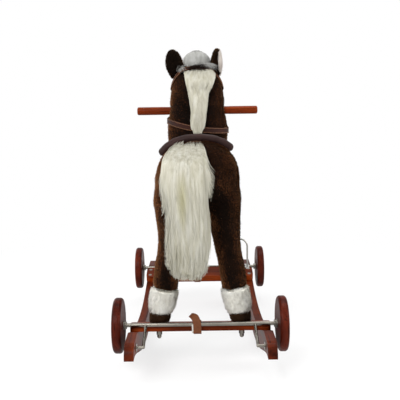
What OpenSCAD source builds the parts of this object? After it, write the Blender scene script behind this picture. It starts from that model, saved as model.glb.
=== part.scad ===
// Stuffed riding horse on wooden rockers, with two wheel sets that swing from above the rockers to below.
// The horse faces +Y, +X is its right side, and the rockers touch the floor at Z = 0.

/* [Rockers] */
// Length of the rockers
rocker_len = 716; // [680:1:800]
// Radius of the rocker's running edge
rocker_r = 900; // [850:5:1000]
// Depth of the rocker board under the slats
rocker_depth = 44; // [40:1:50]
// Thickness of the rocker board
rocker_t = 18; // [16:1:22]
// Clear width between the rockers
rocker_gap = 246; // [236:1:260]
// Rounding of the tip's top corner
tip_round = 26; // [20:1:28]
// Height of the straight end face under that corner
tip_face = 1; // [0.5:0.5:6]

/* [Slats] */
// Distance of each slat's seat in from the rocker's end, along the floor
slat_in = 143; // [133:1:153]
// Width of a slat
slat_w = 52; // [46:1:60]
// Thickness of a slat
slat_t = 16; // [14:1:20]
// How far a slat stands out past the rockers
slat_over = 1; // [0:0.5:4]
// Corner radius of a slat's ends, seen from above
slat_corner = 12; // [4:1:20]
// Radius of a slat screw
screw_r = 2; // [1.5:0.25:2.5]
// Length of a slat screw
screw_len = 34; // [26:1:38]
// Distance of the screws from the middle line of the slat
screw_u = 14; // [8:1:16]

/* [Wheel sets] */
// Diameter of a wheel
wheel_d = 110; // [90:1:120]
// Thickness of a wheel
wheel_w = 18; // [16:1:22]
// Rounding of the wheel's edges
wheel_round = 6; // [2:0.5:8]
// Gap between a rocker and its wheel
wheel_gap = 13; // [12:1:20]
// Diameter of the recess for the push cap
cap_recess_d = 22; // [20:1:28]
// Depth of the recess for the push cap
cap_recess = 6; // [5:0.5:8]
// Diameter of the axle rod
axle_d = 8; // [6:0.5:10]
// Height of the folded axle above the slat's underside, along the slat's outer face
axle_rise = 13.5; // [11:0.5:16]
// Diameter of the wire arms
arm_d = 6; // [5:0.5:7]
// Distance of the wire arms from the middle
arm_x = 109; // [100:1:112]
// Distance of the arm pivots in from the rocker's end, along the floor
pivot_in = 50; // [46:1:54]
// Height of the arm pivots above the rocker's running edge
pivot_rise = 12.8; // [11:0.2:15]
// Length of the pivot pin inside the rocker
pin_depth = 15; // [12:1:15]
// Wall of the pivot bush
bush_wall = 2; // [1.5:0.5:3]
// Radius of the pivot bush's flange
flange_r = 8; // [7:0.5:9]
// Thickness of washers and flanges
washer_t = 1.5; // [1:0.25:2]
// Radius of the wheel washers
washer_r = 9; // [8:0.5:10]
// Radius of the collars inside the wheels
collar_r = 7.5; // [6.5:0.5:9]
// Length of the collars inside the wheels
collar_w = 5; // [4:0.5:6]
// Height of the push caps
cap_h = 4; // [3:0.5:4.5]

/* [Straps] */
// Width of the leather straps that hold the axles
strap_w = 16; // [12:1:20]
// Thickness of the leather
strap_t = 2.2; // [1.5:0.1:3]
// Sideways place of the straps
strap_x = -6; // [-20:1:20]

/* [Horse] */
// Height of the middle of the torso
body_z = 367; // [360:1:385]
// Length of the torso
body_len = 428; // [420:1:440]
// Width of the torso at the hips
body_w = 176; // [170:1:184]
// Height of the torso at the rump
body_h = 158; // [150:1:164]
// Sideways place of the hooves on the slats
hoof_x = 84; // [80:1:86]
// Sideways place of the hips
hip_x = 42; // [38:1:46]
// Distance of the hips in from the torso's ends
hip_in = 64; // [58:1:70]
// Drop of the hips below the middle of the torso
hip_drop = 25; // [20:1:30]
// Largest depth of a hind thigh
thigh_depth = 104; // [96:1:110]
// Largest depth of a foreleg at the shoulder
shoulder_depth = 88; // [80:1:96]

/* [Inner frame] */
// How far the spine board reaches past the leg posts
board_past = 16; // [12:1:20]
// Width of the spine board
board_w = 112; // [108:1:118]
// Thickness of the spine board
board_t = 20; // [16:1:24]
// Side of the square leg posts
post_side = 18; // [16:1:20]
// Distance of the neck post's foot behind the forelegs' hips
neck_back = 20; // [14:1:26]
// Diameter of the neck post
neck_post_d = 34; // [30:1:38]
// Radius of the leg bolts
bolt_r = 3; // [2.5:0.5:3.5]
// How far the leg bolts reach into the posts
bolt_up = 38; // [30:1:42]
// Distance over the flats of the cap nuts
nut_af = 10; // [9:0.5:13]
// Height of the cap nuts
nut_h = 16; // [13:1:18]

/* [Handle] */
// Length of the handle
handle_len = 305; // [280:1:330]
// Diameter of the handle
handle_d = 20; // [16:1:22]
// Rounding of the handle's ends
handle_round = 4; // [1:0.5:6]
// Height of the handle above the middle of the torso
handle_up = 149; // [140:1:160]

/* [Tack] */
// Thickness of flaps, girth and bridle leather
tack_t = 3; // [2:0.25:4]
// Place of the stirrup leathers along the torso
stirrup_y = 15; // [5:1:25]
// Length of a stirrup leather from its rivet to the stirrup bar
leather_len = 148; // [140:1:152]
// Width of a stirrup leather
leather_w = 14; // [12:1:16]
// Thickness of a stirrup leather
leather_t = 2.4; // [2:0.2:3]
// Width of a stirrup over its sides
stirrup_w = 62; // [56:1:70]
// Height of a stirrup from its tread to its bar
stirrup_h = 68; // [60:1:74]
// Diameter of the stirrup wire
wire_d = 4; // [3:0.5:5]
// Depth of the stirrup's tread
tread_depth = 34; // [30:1:40]
// Thickness of the stirrup's tread
tread_t = 4; // [3:0.5:5]
// Radius of the leather rivets
rivet_r = 2.5; // [2:0.25:3]

/* [Clearances] */
// Radial clearance of running fits
run_fit = 0.06; // [0.03:0.01:0.1]
// Radial clearance of glued or driven pieces
set_fit = 0.05; // [0.02:0.01:0.1]
// Space between pieces that only lie against each other
lie_gap = 0.3; // [0.2:0.05:0.5]

/* [Hidden] */

$fn = 64;
plush = [0.16, 0.09, 0.05];
white_fur = [0.86, 0.84, 0.78];
mahogany = [0.45, 0.18, 0.09];
dowel_wood = [0.62, 0.26, 0.1];
pale_wood = [0.8, 0.65, 0.45];
steel = [0.62, 0.62, 0.6];
leather = [0.42, 0.25, 0.16];
saddle_brown = [0.24, 0.15, 0.15];

// A large block for cutting off whatever lies past a plane
beyond = 600;
// Extra length that keeps cutters proud of what they cut
proud = 1;

// Places on the base

rocker_in = rocker_gap / 2;
rocker_out = rocker_in + rocker_t;
top_r = rocker_r - rocker_depth;
slat_y = rocker_len / 2 - slat_in;
slat_tilt = asin(slat_y / top_r);
seat_half = asin(slat_w / 2 / top_r);
seat_r = top_r * cos(seat_half);
slat_half = rocker_out + slat_over;
axle_u = slat_w / 2 + lie_gap + axle_d / 2;

// Y and Z of a point beside the front slat: u runs outward along its width and v up from its underside
function slat_point(u, v) = [
  (seat_r - v) * sin(slat_tilt) + u * cos(slat_tilt),
  rocker_r - (seat_r - v) * cos(slat_tilt) + u * sin(slat_tilt)
];
axle_at = slat_point(axle_u, axle_rise);
foot_at = slat_point(0, slat_t);
wheel_in = rocker_out + wheel_gap;
wheel_out = wheel_in + wheel_w;
axle_half = wheel_out - cap_recess + lie_gap + washer_t + cap_h - 1;

// Places on the horse

torso_end = body_len / 2;
hip_y = torso_end - hip_in;
handle_z = body_z + handle_up;
board_top = body_z - 8;
board_len = 2 * (hip_y + post_side / 2 + board_past);
neck_foot = [0, hip_y - neck_back, board_top];
neck_tip = [0, torso_end - 16, body_z + 228];
handle_y = neck_foot.y + (neck_tip.y - neck_foot.y) * (handle_z - neck_foot.z) / (neck_tip.z - neck_foot.z);
hoof_foot = [hoof_x, foot_at.x, foot_at.y];
hip = [hip_x, hip_y, body_z - hip_drop];

// Lofted forms

sides = 22;
limb_sides = 16;
function steps(n) = [for (i = [0 : n - 1]) 360 * i / n];
function signed_power(v, p) = sign(v) * pow(abs(v), p);
function oval(t, e) = [signed_power(cos(t), 2 / e), signed_power(sin(t), 2 / e)];
function total(v, i = 0) = i < len(v) ? v[i] + total(v, i + 1) : [0, 0, 0];
function middle(v) = total(v) / len(v);
function blend(a, b, t) = a + (b - a) * t;
function spline(a, b, c, d, f) =
  0.5 * (2 * b + (c - a) * f + (2 * a - 5 * b + 4 * c - d) * f * f + (3 * b - a - 3 * c + d) * f * f * f);

// The row of a table at a fractional place, on a smooth curve through the rows
function row_at(table, k) =
  let (i = max(0, min(floor(k), len(table) - 2)), last = len(table) - 1)
  spline(table[max(i - 1, 0)], table[i], table[i + 1], table[min(i + 2, last)], k - i);

// The fractional place at which a table's first column, which falls or rises steadily, has a value
function place_of(table, v, i = 0) =
  i >= len(table) - 2 || (v - table[i][0]) * (v - table[i + 1][0]) <= 0
    ? i + (v - table[i][0]) / (table[i + 1][0] - table[i][0])
    : place_of(table, v, i + 1);

// A closed solid through rings of points that turn anticlockwise about the way they advance. Its ends are
// closed as a fan or, where the ring goes out along a strip and back, in cells across that strip.
module loft(rings, strip = false) {
  n = len(rings[0]);
  m = len(rings);
  end = (m - 1) * n;
  walls = [for (i = [0 : m - 2], j = [0 : n - 1]) each [
    [i * n + j, (i + 1) * n + j, (i + 1) * n + (j + 1) % n],
    [i * n + j, (i + 1) * n + (j + 1) % n, i * n + (j + 1) % n]
  ]];
  fans = [for (j = [0 : n - 1]) each [
    [m * n, j, (j + 1) % n],
    [m * n + 1, end + (j + 1) % n, end + j]
  ]];
  cells = [for (j = [0 : n / 2 - 2]) each [
    [j, j + 1, n - 2 - j], [j, n - 2 - j, n - 1 - j],
    [end + j + 1, end + j, end + n - 1 - j], [end + j + 1, end + n - 1 - j, end + n - 2 - j]
  ]];
  ring_points = [for (r = rings) each r];
  middles = [middle(rings[0]), middle(rings[m - 1])];
  polyhedron(
    points = strip ? ring_points : concat(ring_points, middles),
    faces = concat(walls, strip ? cells : fans)
  );
}

// Torso: place from front to rear as a share of half the length, then shares of half the width and half the
// height, and the rise of the section's middle
torso_table = [
  [1.00, 0.20, 0.24, 8], [0.97, 0.50, 0.55, 8], [0.88, 0.76, 0.84, 7], [0.72, 0.89, 0.97, 3],
  [0.48, 0.93, 1.00, -2], [0.22, 0.90, 0.97, -5], [-0.02, 0.895, 0.96, -5], [-0.26, 0.95, 0.98, -2],
  [-0.48, 1.00, 1.00, 4], [-0.68, 0.98, 1.00, 9], [-0.82, 0.88, 0.91, 11], [-0.92, 0.69, 0.72, 12],
  [-0.98, 0.42, 0.45, 12], [-1.00, 0.18, 0.20, 12]
];
torso_squareness = 2.35;
function torso_row(y) = row_at(torso_table, place_of(torso_table, y / (body_len / 2)));
function torso_point(y, t, grow = 0) =
  let (r = torso_row(y), o = oval(t, torso_squareness))
  [(r[1] * body_w / 2 + grow) * o.x, y, body_z + r[3] + (r[2] * body_h / 2 + grow) * o.y];

module torso_form() {
  loft([for (r = torso_table) [for (t = steps(sides)) torso_point(r[0] * body_len / 2, t)]]);
}

// A strip that lies on the torso between two places and two angles, and stands out by what rise gives at
// each place
module torso_strip(y_front, y_rear, rows, t0, t1, cells, rise) {
  loft(
    [for (k = [0 : rows])
      let (y = blend(y_front, y_rear, k / rows))
      concat(
        [for (c = [0 : cells]) torso_point(y, blend(t0, t1, c / cells), lookup(y, rise))],
        [for (c = [cells : -1 : 0]) torso_point(y, blend(t0, t1, c / cells), -4)]
      )
    ],
    strip = true
  );
}

// Neck: height above the torso's middle, place from the torso's front end, half width and half depth
neck_table = [
  [40, -68, 74, 56], [70, -64, 77, 62], [92, -60, 77, 62], [114, -54, 76, 60], [150, -42, 73, 56],
  [185, -32, 70, 53], [215, -23, 66, 50], [240, -16, 56, 44], [256, -11, 38, 31], [263, -9, 15, 13]
];
neck_squareness = 2.15;
function neck_point(up, t, grow = 0) =
  let (r = row_at(neck_table, place_of(neck_table, up)), o = oval(t, neck_squareness))
  [(r[2] + grow) * o.x, torso_end + r[1] + (r[3] + grow) * o.y, body_z + up];

module neck_form() {
  loft([for (r = neck_table) [for (t = steps(sides)) neck_point(r[0], t)]]);
}

// Head: distance from the muzzle back to the poll, half width, half depth
head_table = [
  [0, 14, 13], [5, 27, 24], [16, 37, 32], [34, 42, 37], [58, 42, 40], [88, 48, 46], [118, 57, 54],
  [145, 61, 58], [168, 57, 53], [184, 42, 40], [192, 18, 17]
];
head_squareness = 2.2;
head_slope = 34;
muzzle_at = [0, torso_end + 132, body_z + 127];
function head_point(s, t, grow = 0) =
  let (r = row_at(head_table, place_of(head_table, s)), o = oval(t, head_squareness),
    along = [0, -cos(head_slope), sin(head_slope)], up = [0, sin(head_slope), cos(head_slope)])
  muzzle_at + along * s + [1, 0, 0] * (r[1] + grow) * o.x + up * (r[2] + grow) * o.y;

module head_form() {
  loft([for (r = head_table) [for (t = steps(sides)) head_point(r[0], t)]]);
}

// Leg: share of the way from hoof to hip, half width, half depth, slope of the ring fore and aft as a share
// of the slat's tilt, and slope of the ring outward
leg_table = [
  [0.00, 19.5, 24.0, 1.0, 0], [0.04, 21.5, 26.0, 0.9, 0.05], [0.075, 21.5, 25.5, 0.7, 0.12],
  [0.12, 25.5, 28.5, 0.5, 0.12], [0.20, 27.8, 31.5, 0.3, 0.12], [0.30, 28.5, 31.5, 0.2, 0.15],
  [0.42, 28.0, 32.0, 0.1, 0.05], [0.55, 28.5, 35.5, 0, 0], [0.68, 31.0, 41.5, 0, 0],
  [0.82, 36.0, 49.0, 0, 0], [0.95, 45.0, 52.0, 0, 0],
  [1.05, 47.0, 44.0, 0, 0], [1.13, 31.0, 26.0, 0, 0]
];
hoof_top = 2;
sock_top = 5;
leg_top = len(leg_table) - 1;
table_depth = 104;
function depth_at(r, depth) = r[2] * blend(1, depth / table_depth, min(1, r[0]));
function leg_ring(r, depth) = [for (t = steps(limb_sides))
  let (c = blend(hoof_foot, hip, r[0]), dx = r[1] * cos(t), dy = depth_at(r, depth) * sin(t))
  c + [dx, dy, dy * tan(slat_tilt) * r[3] + dx * r[4]]
];

// The part of a right foreleg between two rows of the table
module leg_form(first, last, depth) {
  loft([for (i = [first : last]) leg_ring(leg_table[i], depth)]);
}

// Tail: height above the torso's middle, sideways place, place from the torso's rear end, half width and
// half depth
tail_table = [
  [-186, -18, -26, 12, 7], [-176, -20, -29, 27, 12], [-150, -23, -33, 36, 16], [-110, -23, -36, 42, 19],
  [-70, -24, -38, 44, 21], [-30, -28, -37, 45, 22], [10, -32, -34, 50, 22], [40, -29, -24, 51, 24],
  [60, -25, -12, 43, 28], [72, -20, 2, 34, 28], [82, -17, 15, 24, 20], [88, -16, 23, 12, 10]
];
// Mane: height above the torso's middle, place from the torso's front end, half width and half depth
mane_table = [
  [98, -126, 12, 7], [106, -122, 17, 11], [120, -117, 20, 14], [150, -104, 24, 15], [185, -90, 29, 17],
  [215, -76, 35, 19], [242, -59, 38, 21], [260, -40, 33, 20], [268, -30, 20, 12]
];
// Forelock: height above the torso's middle, half width and half depth
forelock_table = [[236, 34, 24], [252, 41, 29], [270, 42, 30], [286, 37, 26], [297, 26, 18], [303, 11, 8]];
forelock_at = [0, torso_end];
// Ear: share of its height, half width and half thickness
ear_table = [
  [-0.12, 15, 8], [0.1, 20, 9], [0.35, 23.5, 9], [0.6, 22, 8], [0.82, 17, 6.5],
  [0.95, 10, 4.5], [1, 4.5, 2.5]
];
ear_h = 66;

module rings_at(rows, n) {
  loft([for (r = rows) [for (t = steps(n)) [r[0] + r[3] * cos(t), r[1] + r[4] * sin(t), r[2]]]]);
}

// Base pieces

// Rise of the running edge above its circle, against the share of the way from the middle to the tip. Past a
// shallow hollow, the tip comes down to a stop that keeps the horse from tipping over
edge_lift = [
  [0.33, 0], [0.45, 0.7], [0.56, 2.5], [0.68, 5], [0.8, 5.5], [0.874, 3.5], [0.916, 1.1], [0.95, -2.6],
  [0.978, -7.6], [1, -11.2]
];
edge_steps = 50;
function edge_point(y) =
  [y, rocker_r - sqrt(rocker_r * rocker_r - y * y) + lookup(2 * abs(y) / rocker_len, edge_lift)];
tip_z = edge_point(rocker_len / 2).y + tip_face + tip_round;
pivot_y = rocker_len / 2 - pivot_in;
pivot_z = edge_point(pivot_y).y + pivot_rise;

function arc(r, a0, a1, n) =
  [for (i = [0 : n]) let (a = blend(a0, a1, i / n)) [r * sin(a), rocker_r - r * cos(a)]];

module rocker_outline() {
  half = rocker_len / 2;
  level_from = asin(sqrt(top_r * top_r - pow(rocker_r - tip_z, 2)) / top_r);
  corner_at = [half - tip_round, tip_z - tip_round];
  corner = [for (a = [0 : 10 : 90]) corner_at + tip_round * [cos(a), sin(a)]];
  past_seat = arc(top_r, level_from, slat_tilt + seat_half, 6);
  right_top = concat(corner, past_seat, arc(top_r, slat_tilt - seat_half, 0, 16));
  left_top = [for (i = [len(right_top) - 2 : -1 : 0]) [-right_top[i].x, right_top[i].y]];
  edge = [for (i = [0 : edge_steps]) edge_point(blend(-half, half, i / edge_steps))];
  polygon(concat(edge, right_top, left_top));
}

// Places its children in the frame of the front slat, or of the rear one
module beside_slat(rear) {
  mirror([0, rear ? 1 : 0, 0])
    translate([0, 0, rocker_r])
      rotate([slat_tilt, 0, 0])
        translate([0, 0, -seat_r])
          children();
}

module along_x(x0, x1, r) {
  translate([x0, 0, 0])
    rotate([0, 90, 0])
      cylinder(r = r, h = x1 - x0);
}

module rocker(right) {
  side = right ? 1 : -1;
  color(mahogany)
    difference() {
      translate([right ? rocker_in : -rocker_out, 0, 0])
        rotate([90, 0, 90])
          linear_extrude(rocker_t)
            rocker_outline();
      for (way = [-1, 1])
        translate([0, way * pivot_y, pivot_z])
          mirror([right ? 0 : 1, 0, 0])
            along_x(rocker_in - proud, rocker_in + pin_depth + 1, arm_d / 2 + run_fit + bush_wall);
      for (rear = [false, true])
        beside_slat(rear)
          screw_places()
            if ($side == side)
              screw_solid(0);
    }
}

module screw_places() {
  for (s = [-1, 1], u = [-screw_u, screw_u])
    translate([s * (rocker_in + rocker_t / 2), u, slat_t]) {
      $side = s;
      children();
    }
}

module screw_solid(extra) {
  translate([0, 0, -screw_len])
    cylinder(r = screw_r + extra, h = screw_len);
  translate([0, 0, -screw_r * 1.5])
    cylinder(r1 = screw_r + extra, r2 = screw_r * 2.2 + extra, h = screw_r * 1.5);
}

module slat_screws() {
  color(steel)
    for (rear = [false, true])
      beside_slat(rear)
        screw_places()
          screw_solid(0);
}

module slat(rear) {
  color(mahogany)
    beside_slat(rear)
      difference() {
        linear_extrude(slat_t) {
          square([2 * (slat_half - slat_corner), slat_w], center = true);
          square([2 * slat_half, slat_w - 2 * slat_corner], center = true);
          for (x = [-1, 1], u = [-1, 1])
            translate([x * (slat_half - slat_corner), u * (slat_w / 2 - slat_corner)])
              circle(slat_corner);
        }
        screw_places()
          screw_solid(0);
        for (x = [-hoof_x, hoof_x])
          translate([x, 0, -proud])
            cylinder(r = bolt_r + set_fit, h = slat_t + 2 * proud);
      }
}

module pivot_bushes() {
  inner = arm_d / 2 + run_fit;
  color(steel)
    for (way = [-1, 1], side = [0, 1])
      translate([0, way * pivot_y, pivot_z])
        mirror([side, 0, 0])
          difference() {
            union() {
              along_x(rocker_in, rocker_in + pin_depth + 1, inner + bush_wall);
              along_x(rocker_in - washer_t, rocker_in, flange_r);
            }
            along_x(rocker_in - washer_t - proud, rocker_in + pin_depth + 1 + proud, inner);
          }
}

// Wheel sets

module at_axle(rear) {
  translate([0, (rear ? -1 : 1) * axle_at.x, axle_at.y])
    children();
}

module axle(rear) {
  color(steel)
    at_axle(rear)
      along_x(-axle_half, axle_half, axle_d / 2);
}

module arm(rear, right) {
  way = rear ? -1 : 1;
  reach = [axle_at.x - pivot_y, axle_at.y - pivot_z];
  color(steel)
    mirror([right ? 0 : 1, 0, 0])
      difference() {
        translate([0, way * pivot_y, pivot_z]) {
          along_x(arm_x, rocker_in + pin_depth, arm_d / 2);
          translate([arm_x, 0, 0]) {
            sphere(arm_d / 2);
            rotate([way * atan2(-reach.x, reach.y), 0, 0])
              cylinder(r = arm_d / 2, h = norm(reach));
          }
        }
        at_axle(rear)
          along_x(arm_x - arm_d, arm_x + arm_d, axle_d / 2);
      }
}

module both_sides() {
  for (side = [0, 1])
    mirror([side, 0, 0])
      children();
}

module axle_collars(rear) {
  washer_at = wheel_in - lie_gap - washer_t;
  color(steel)
    at_axle(rear)
      both_sides()
        difference() {
          union() {
            along_x(washer_at, washer_at + washer_t, washer_r);
            along_x(washer_at - collar_w, washer_at, collar_r);
          }
          along_x(washer_at - collar_w - proud, washer_at + washer_t + proud, axle_d / 2);
        }
}

module axle_caps(rear) {
  from = wheel_out - cap_recess + lie_gap;
  color(steel)
    at_axle(rear)
      both_sides()
        difference() {
          union() {
            along_x(from, from + washer_t, washer_r);
            along_x(from + washer_t, from + washer_t + cap_h, collar_r);
          }
          along_x(from - proud, axle_half, axle_d / 2);
        }
}

module wheel(rear, right) {
  r = wheel_d / 2;
  flat = r - wheel_round;
  bore = axle_d / 2 + run_fit;
  color(mahogany)
    at_axle(rear)
      mirror([right ? 0 : 1, 0, 0])
        translate([wheel_in, 0, 0])
          rotate([0, 90, 0])
            difference() {
              rotate_extrude($fn = 96) {
                translate([bore, 0])
                  square([flat - bore, wheel_w]);
                translate([bore, wheel_round])
                  square([r - bore, wheel_w - 2 * wheel_round]);
                for (h = [wheel_round, wheel_w - wheel_round])
                  translate([flat, h])
                    circle(wheel_round);
              }
              translate([0, 0, wheel_w - cap_recess])
                cylinder(r = cap_recess_d / 2, h = cap_recess + proud);
            }
}

// A leather loop round a slat and its folded axle, in the slat's frame: points across its width, then up
strap_drop = 4;
strap_stand = 13;
module strap(rear) {
  near = -slat_w / 2 - lie_gap;
  far = axle_u + axle_d / 2 + lie_gap;
  crest = axle_rise + axle_d / 2 + strap_stand;
  inside = [
    [near, -lie_gap], [slat_w / 4, -lie_gap], [slat_w / 2, -strap_drop], [far - 3, -strap_drop], [far, 2],
    [far, crest - 8], [far - 3, crest - 3], [far - 9, crest - 4], [slat_w / 2 - 4, slat_t + 5],
    [slat_w / 4, slat_t + lie_gap], [near, slat_t + lie_gap]
  ];
  t = strap_t;
  outside = [
    [near - t, -lie_gap - t], [slat_w / 4, -lie_gap - t], [slat_w / 2, -strap_drop - t],
    [far - 2, -strap_drop - t], [far + t, 1], [far + t, crest - 7], [far - 2, crest - 3 + t],
    [far - 10, crest - 4 + t], [slat_w / 2 - 6, slat_t + 5 + t], [slat_w / 4 - 2, slat_t + lie_gap + t],
    [near - t, slat_t + lie_gap + t]
  ];
  color(leather)
    beside_slat(rear)
      translate([strap_x - strap_w / 2, 0, 0])
        rotate([90, 0, 90])
          linear_extrude(strap_w)
            difference() {
              polygon(outside);
              polygon(inside);
            }
}

// Inner frame

// Turns its children's Z axis to point along a vector
module turned_to(v) {
  rotate([0, acos(v.z / norm(v)), atan2(v.y, v.x)])
    children();
}

// A cylinder from one point to another
module rod(from, to, r) {
  translate(from)
    turned_to(to - from)
      cylinder(r = r, h = norm(to - from));
}

module each_leg() {
  for (x = [0, 1], y = [0, 1])
    mirror([x, 0, 0])
      mirror([0, y, 0])
        children();
}

// The whole line of the right foreleg's post, before it is cut at the slat and at the spine board
post_below = 20;
post_above = 40;
module post_line(extra) {
  way = (hip - hoof_foot) / norm(hip - hoof_foot);
  translate(hoof_foot - way * post_below)
    turned_to(way)
      linear_extrude(norm(hip - hoof_foot) + post_below + post_above)
        square(post_side + 2 * extra, center = true);
}

module bolt_hole(extra) {
  beside_slat(false)
    translate([hoof_x, 0, 0])
      cylinder(r = bolt_r + extra, h = slat_t + bolt_up);
}

module leg_posts() {
  color(pale_wood)
    each_leg()
      difference() {
        post_line(0);
        beside_slat(false)
          translate([0, -beyond / 2, slat_t - beyond])
            cube([beyond, beyond, beyond]);
        translate([-beyond / 2, -beyond / 2, board_top])
          cube(beyond);
        bolt_hole(set_fit);
      }
}

// Shares of a nut's height that the bolt fills and that is bored
bolt_in_nut = 0.6;
nut_bored = 0.65;
module leg_bolts() {
  color(steel)
    each_leg()
      beside_slat(false)
        translate([hoof_x, 0, -nut_h * bolt_in_nut])
          cylinder(r = bolt_r, h = nut_h * bolt_in_nut + slat_t + bolt_up - 1);
}

module leg_nuts() {
  dome = nut_af * 0.45;
  color(steel)
    each_leg()
      beside_slat(false)
        translate([hoof_x, 0, 0])
          difference() {
            union() {
              translate([0, 0, -washer_t])
                cylinder(r = nut_af * 0.75, h = washer_t);
              translate([0, 0, -nut_h / 2])
                cylinder(r = nut_af / sqrt(3), h = nut_h / 2 - washer_t, $fn = 6);
              translate([0, 0, dome - nut_h])
                cylinder(r = dome, h = nut_h / 2 - dome);
              translate([0, 0, dome - nut_h])
                sphere(dome);
            }
            translate([0, 0, -nut_h * nut_bored])
              cylinder(r = bolt_r + set_fit, h = nut_h);
          }
}

module board_block(extra) {
  translate([-board_w / 2 - extra, -board_len / 2 - extra, board_top - board_t - extra])
    cube([board_w + 2 * extra, board_len + 2 * extra, board_t + 2 * extra]);
}

module spine_board() {
  color(pale_wood)
    difference() {
      board_block(0);
      each_leg()
        post_line(set_fit);
    }
}

module neck_post_line(extra) {
  rod(neck_foot, neck_tip, neck_post_d / 2 + extra);
}

module handle_hole(extra) {
  translate([0, handle_y, handle_z])
    along_x(-handle_len / 2 - proud, handle_len / 2 + proud, handle_d / 2 + extra);
}

module neck_post() {
  color(pale_wood)
    difference() {
      neck_post_line(0);
      translate([-beyond / 2, -beyond / 2, board_top - beyond])
        cube(beyond);
      handle_hole(set_fit);
    }
}

// The dowel has a shallow relief at each side of the neck, where the plush is gathered round it
relief_from = 63;
relief_to = 81;
relief_deep = 0.2;
module handle() {
  half = handle_len / 2;
  r = handle_d / 2;
  color(dowel_wood)
    translate([0, handle_y, handle_z])
      rotate([0, 90, 0])
        rotate_extrude()
          difference() {
            union() {
              translate([0, -half])
                square([r - handle_round, handle_len]);
              translate([0, handle_round - half])
                square([r, handle_len - 2 * handle_round]);
              for (h = [handle_round - half, half - handle_round])
                translate([r - handle_round, h])
                  circle(handle_round);
            }
            for (h = [relief_from, -relief_to])
              translate([r - relief_deep, h])
                square([proud, relief_to - relief_from]);
          }
}

// Stuffed pieces, each cut by the larger ones that it meets

module torso() {
  color(plush)
    difference() {
      torso_form();
      board_block(set_fit);
      each_leg()
        post_line(set_fit);
      neck_post_line(set_fit);
    }
}

module neck() {
  color(plush)
    difference() {
      neck_form();
      torso_form();
      neck_post_line(set_fit);
      handle_hole(set_fit);
    }
}

module head() {
  color(plush)
    difference() {
      head_form();
      neck_form();
      handle_hole(set_fit);
    }
}

// Right foreleg, which the others mirror
module leg_part(first, last, depth, tone) {
  color(tone)
    difference() {
      leg_form(first, last, depth);
      post_line(set_fit);
      if (last < leg_top)
        bolt_hole(set_fit);
    }
}

module placed_leg(rear, right) {
  mirror([right ? 0 : 1, 0, 0])
    mirror([0, rear ? 1 : 0, 0])
      children();
}

module hoof(rear, right) {
  placed_leg(rear, right)
    leg_part(0, hoof_top, rear ? thigh_depth : shoulder_depth, plush);
}

module sock(rear, right) {
  placed_leg(rear, right)
    leg_part(hoof_top, sock_top, rear ? thigh_depth : shoulder_depth, white_fur);
}

module leg(rear, right) {
  color(plush)
    difference() {
      placed_leg(rear, right)
        leg_part(sock_top, leg_top, rear ? thigh_depth : shoulder_depth, plush);
      torso_form();
    }
}

// Ears stand in a line across the poll. Each has its own lean and turn, as on a soft toy that is in use
left_ear_at = [-50, torso_end - 22, 238];
right_ear_at = [48, torso_end - 22, 238];
left_lean = -13;
left_ear_turn = -6;
right_lean = 8;
right_ear_turn = -56;
module ear_form(at, lean, turn) {
  translate([at.x, at.y, body_z + at.z])
    rotate([0, lean, turn])
      loft([for (r = ear_table) [for (t = steps(12)) [r[1] * cos(t), r[2] * sin(t), r[0] * ear_h]]]);
}

module left_ear() {
  color(plush)
    difference() {
      ear_form(left_ear_at, left_lean, left_ear_turn);
      neck_form();
      head_form();
    }
}

module right_ear() {
  color(plush)
    difference() {
      ear_form(right_ear_at, right_lean, right_ear_turn);
      neck_form();
      head_form();
    }
}

// Eyes: radius, place along the head, turn round it and depth of the middle under the skin
eye_r = 8;
eye_s = 100;
eye_turn = 36;
eye_sunk = 1.5;
module eyes() {
  color("black")
    difference() {
      both_sides()
        translate(head_point(eye_s, eye_turn, -eye_sunk))
          sphere(eye_r);
      head_form();
    }
}

module mane_form() {
  rings_at([for (r = mane_table) [0, torso_end + r[1], body_z + r[0], r[2], r[3]]], limb_sides);
}

module mane() {
  color(white_fur)
    difference() {
      mane_form();
      neck_form();
      rein_form();
      crown_form();
    }
}

module forelock() {
  color(white_fur)
    difference() {
      rings_at(
        [for (r = forelock_table) [forelock_at.x, forelock_at.y, body_z + r[0], r[1], r[2]]],
        limb_sides
      );
      neck_form();
      head_form();
      mane_form();
      ear_form(left_ear_at, left_lean, left_ear_turn);
      ear_form(right_ear_at, right_lean, right_ear_turn);
    }
}

module tail() {
  color(white_fur)
    difference() {
      rings_at([for (r = tail_table) [r[1], r[2] - torso_end, body_z + r[0], r[3], r[4]]], limb_sides);
      torso_form();
    }
}

// Saddle

seat_front = 80;
seat_rear = -56;
seat_edge = 42;
seat_rise = [[seat_rear, 16], [-30, 12], [10, 11], [50, 13], [seat_front, 16]];
module saddle_seat() {
  color(saddle_brown)
    difference() {
      torso_strip(seat_front, seat_rear, 8, seat_edge, 180 - seat_edge, 8, seat_rise);
      torso_form();
      neck_form();
    }
}

cantle_r = 10;
cantle_rise = 12;
cantle_steps = 12;
// The roll sits a little to the left, so its left end reaches further down
cantle_slip = 8;
cantle_left = 180 - seat_edge + cantle_slip;
function cantle_ring(t) =
  let (y = seat_rear - cantle_r + 1, c = torso_point(y, t, cantle_rise),
    n = unit(torso_point(y, t, cantle_rise + 1) - c),
    r = cantle_r * (0.7 + 0.3 * sin(t)))
  [for (q = steps(10)) let (p = c + n * r * cos(q) + [0, r * sin(q), 0]) [p.x, min(p.y, seat_rear), p.z]];

module saddle_cantle() {
  color(saddle_brown)
    difference() {
      loft([for (k = [0 : cantle_steps]) cantle_ring(blend(seat_edge, cantle_left, k / cantle_steps))]);
      torso_form();
    }
}

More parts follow.
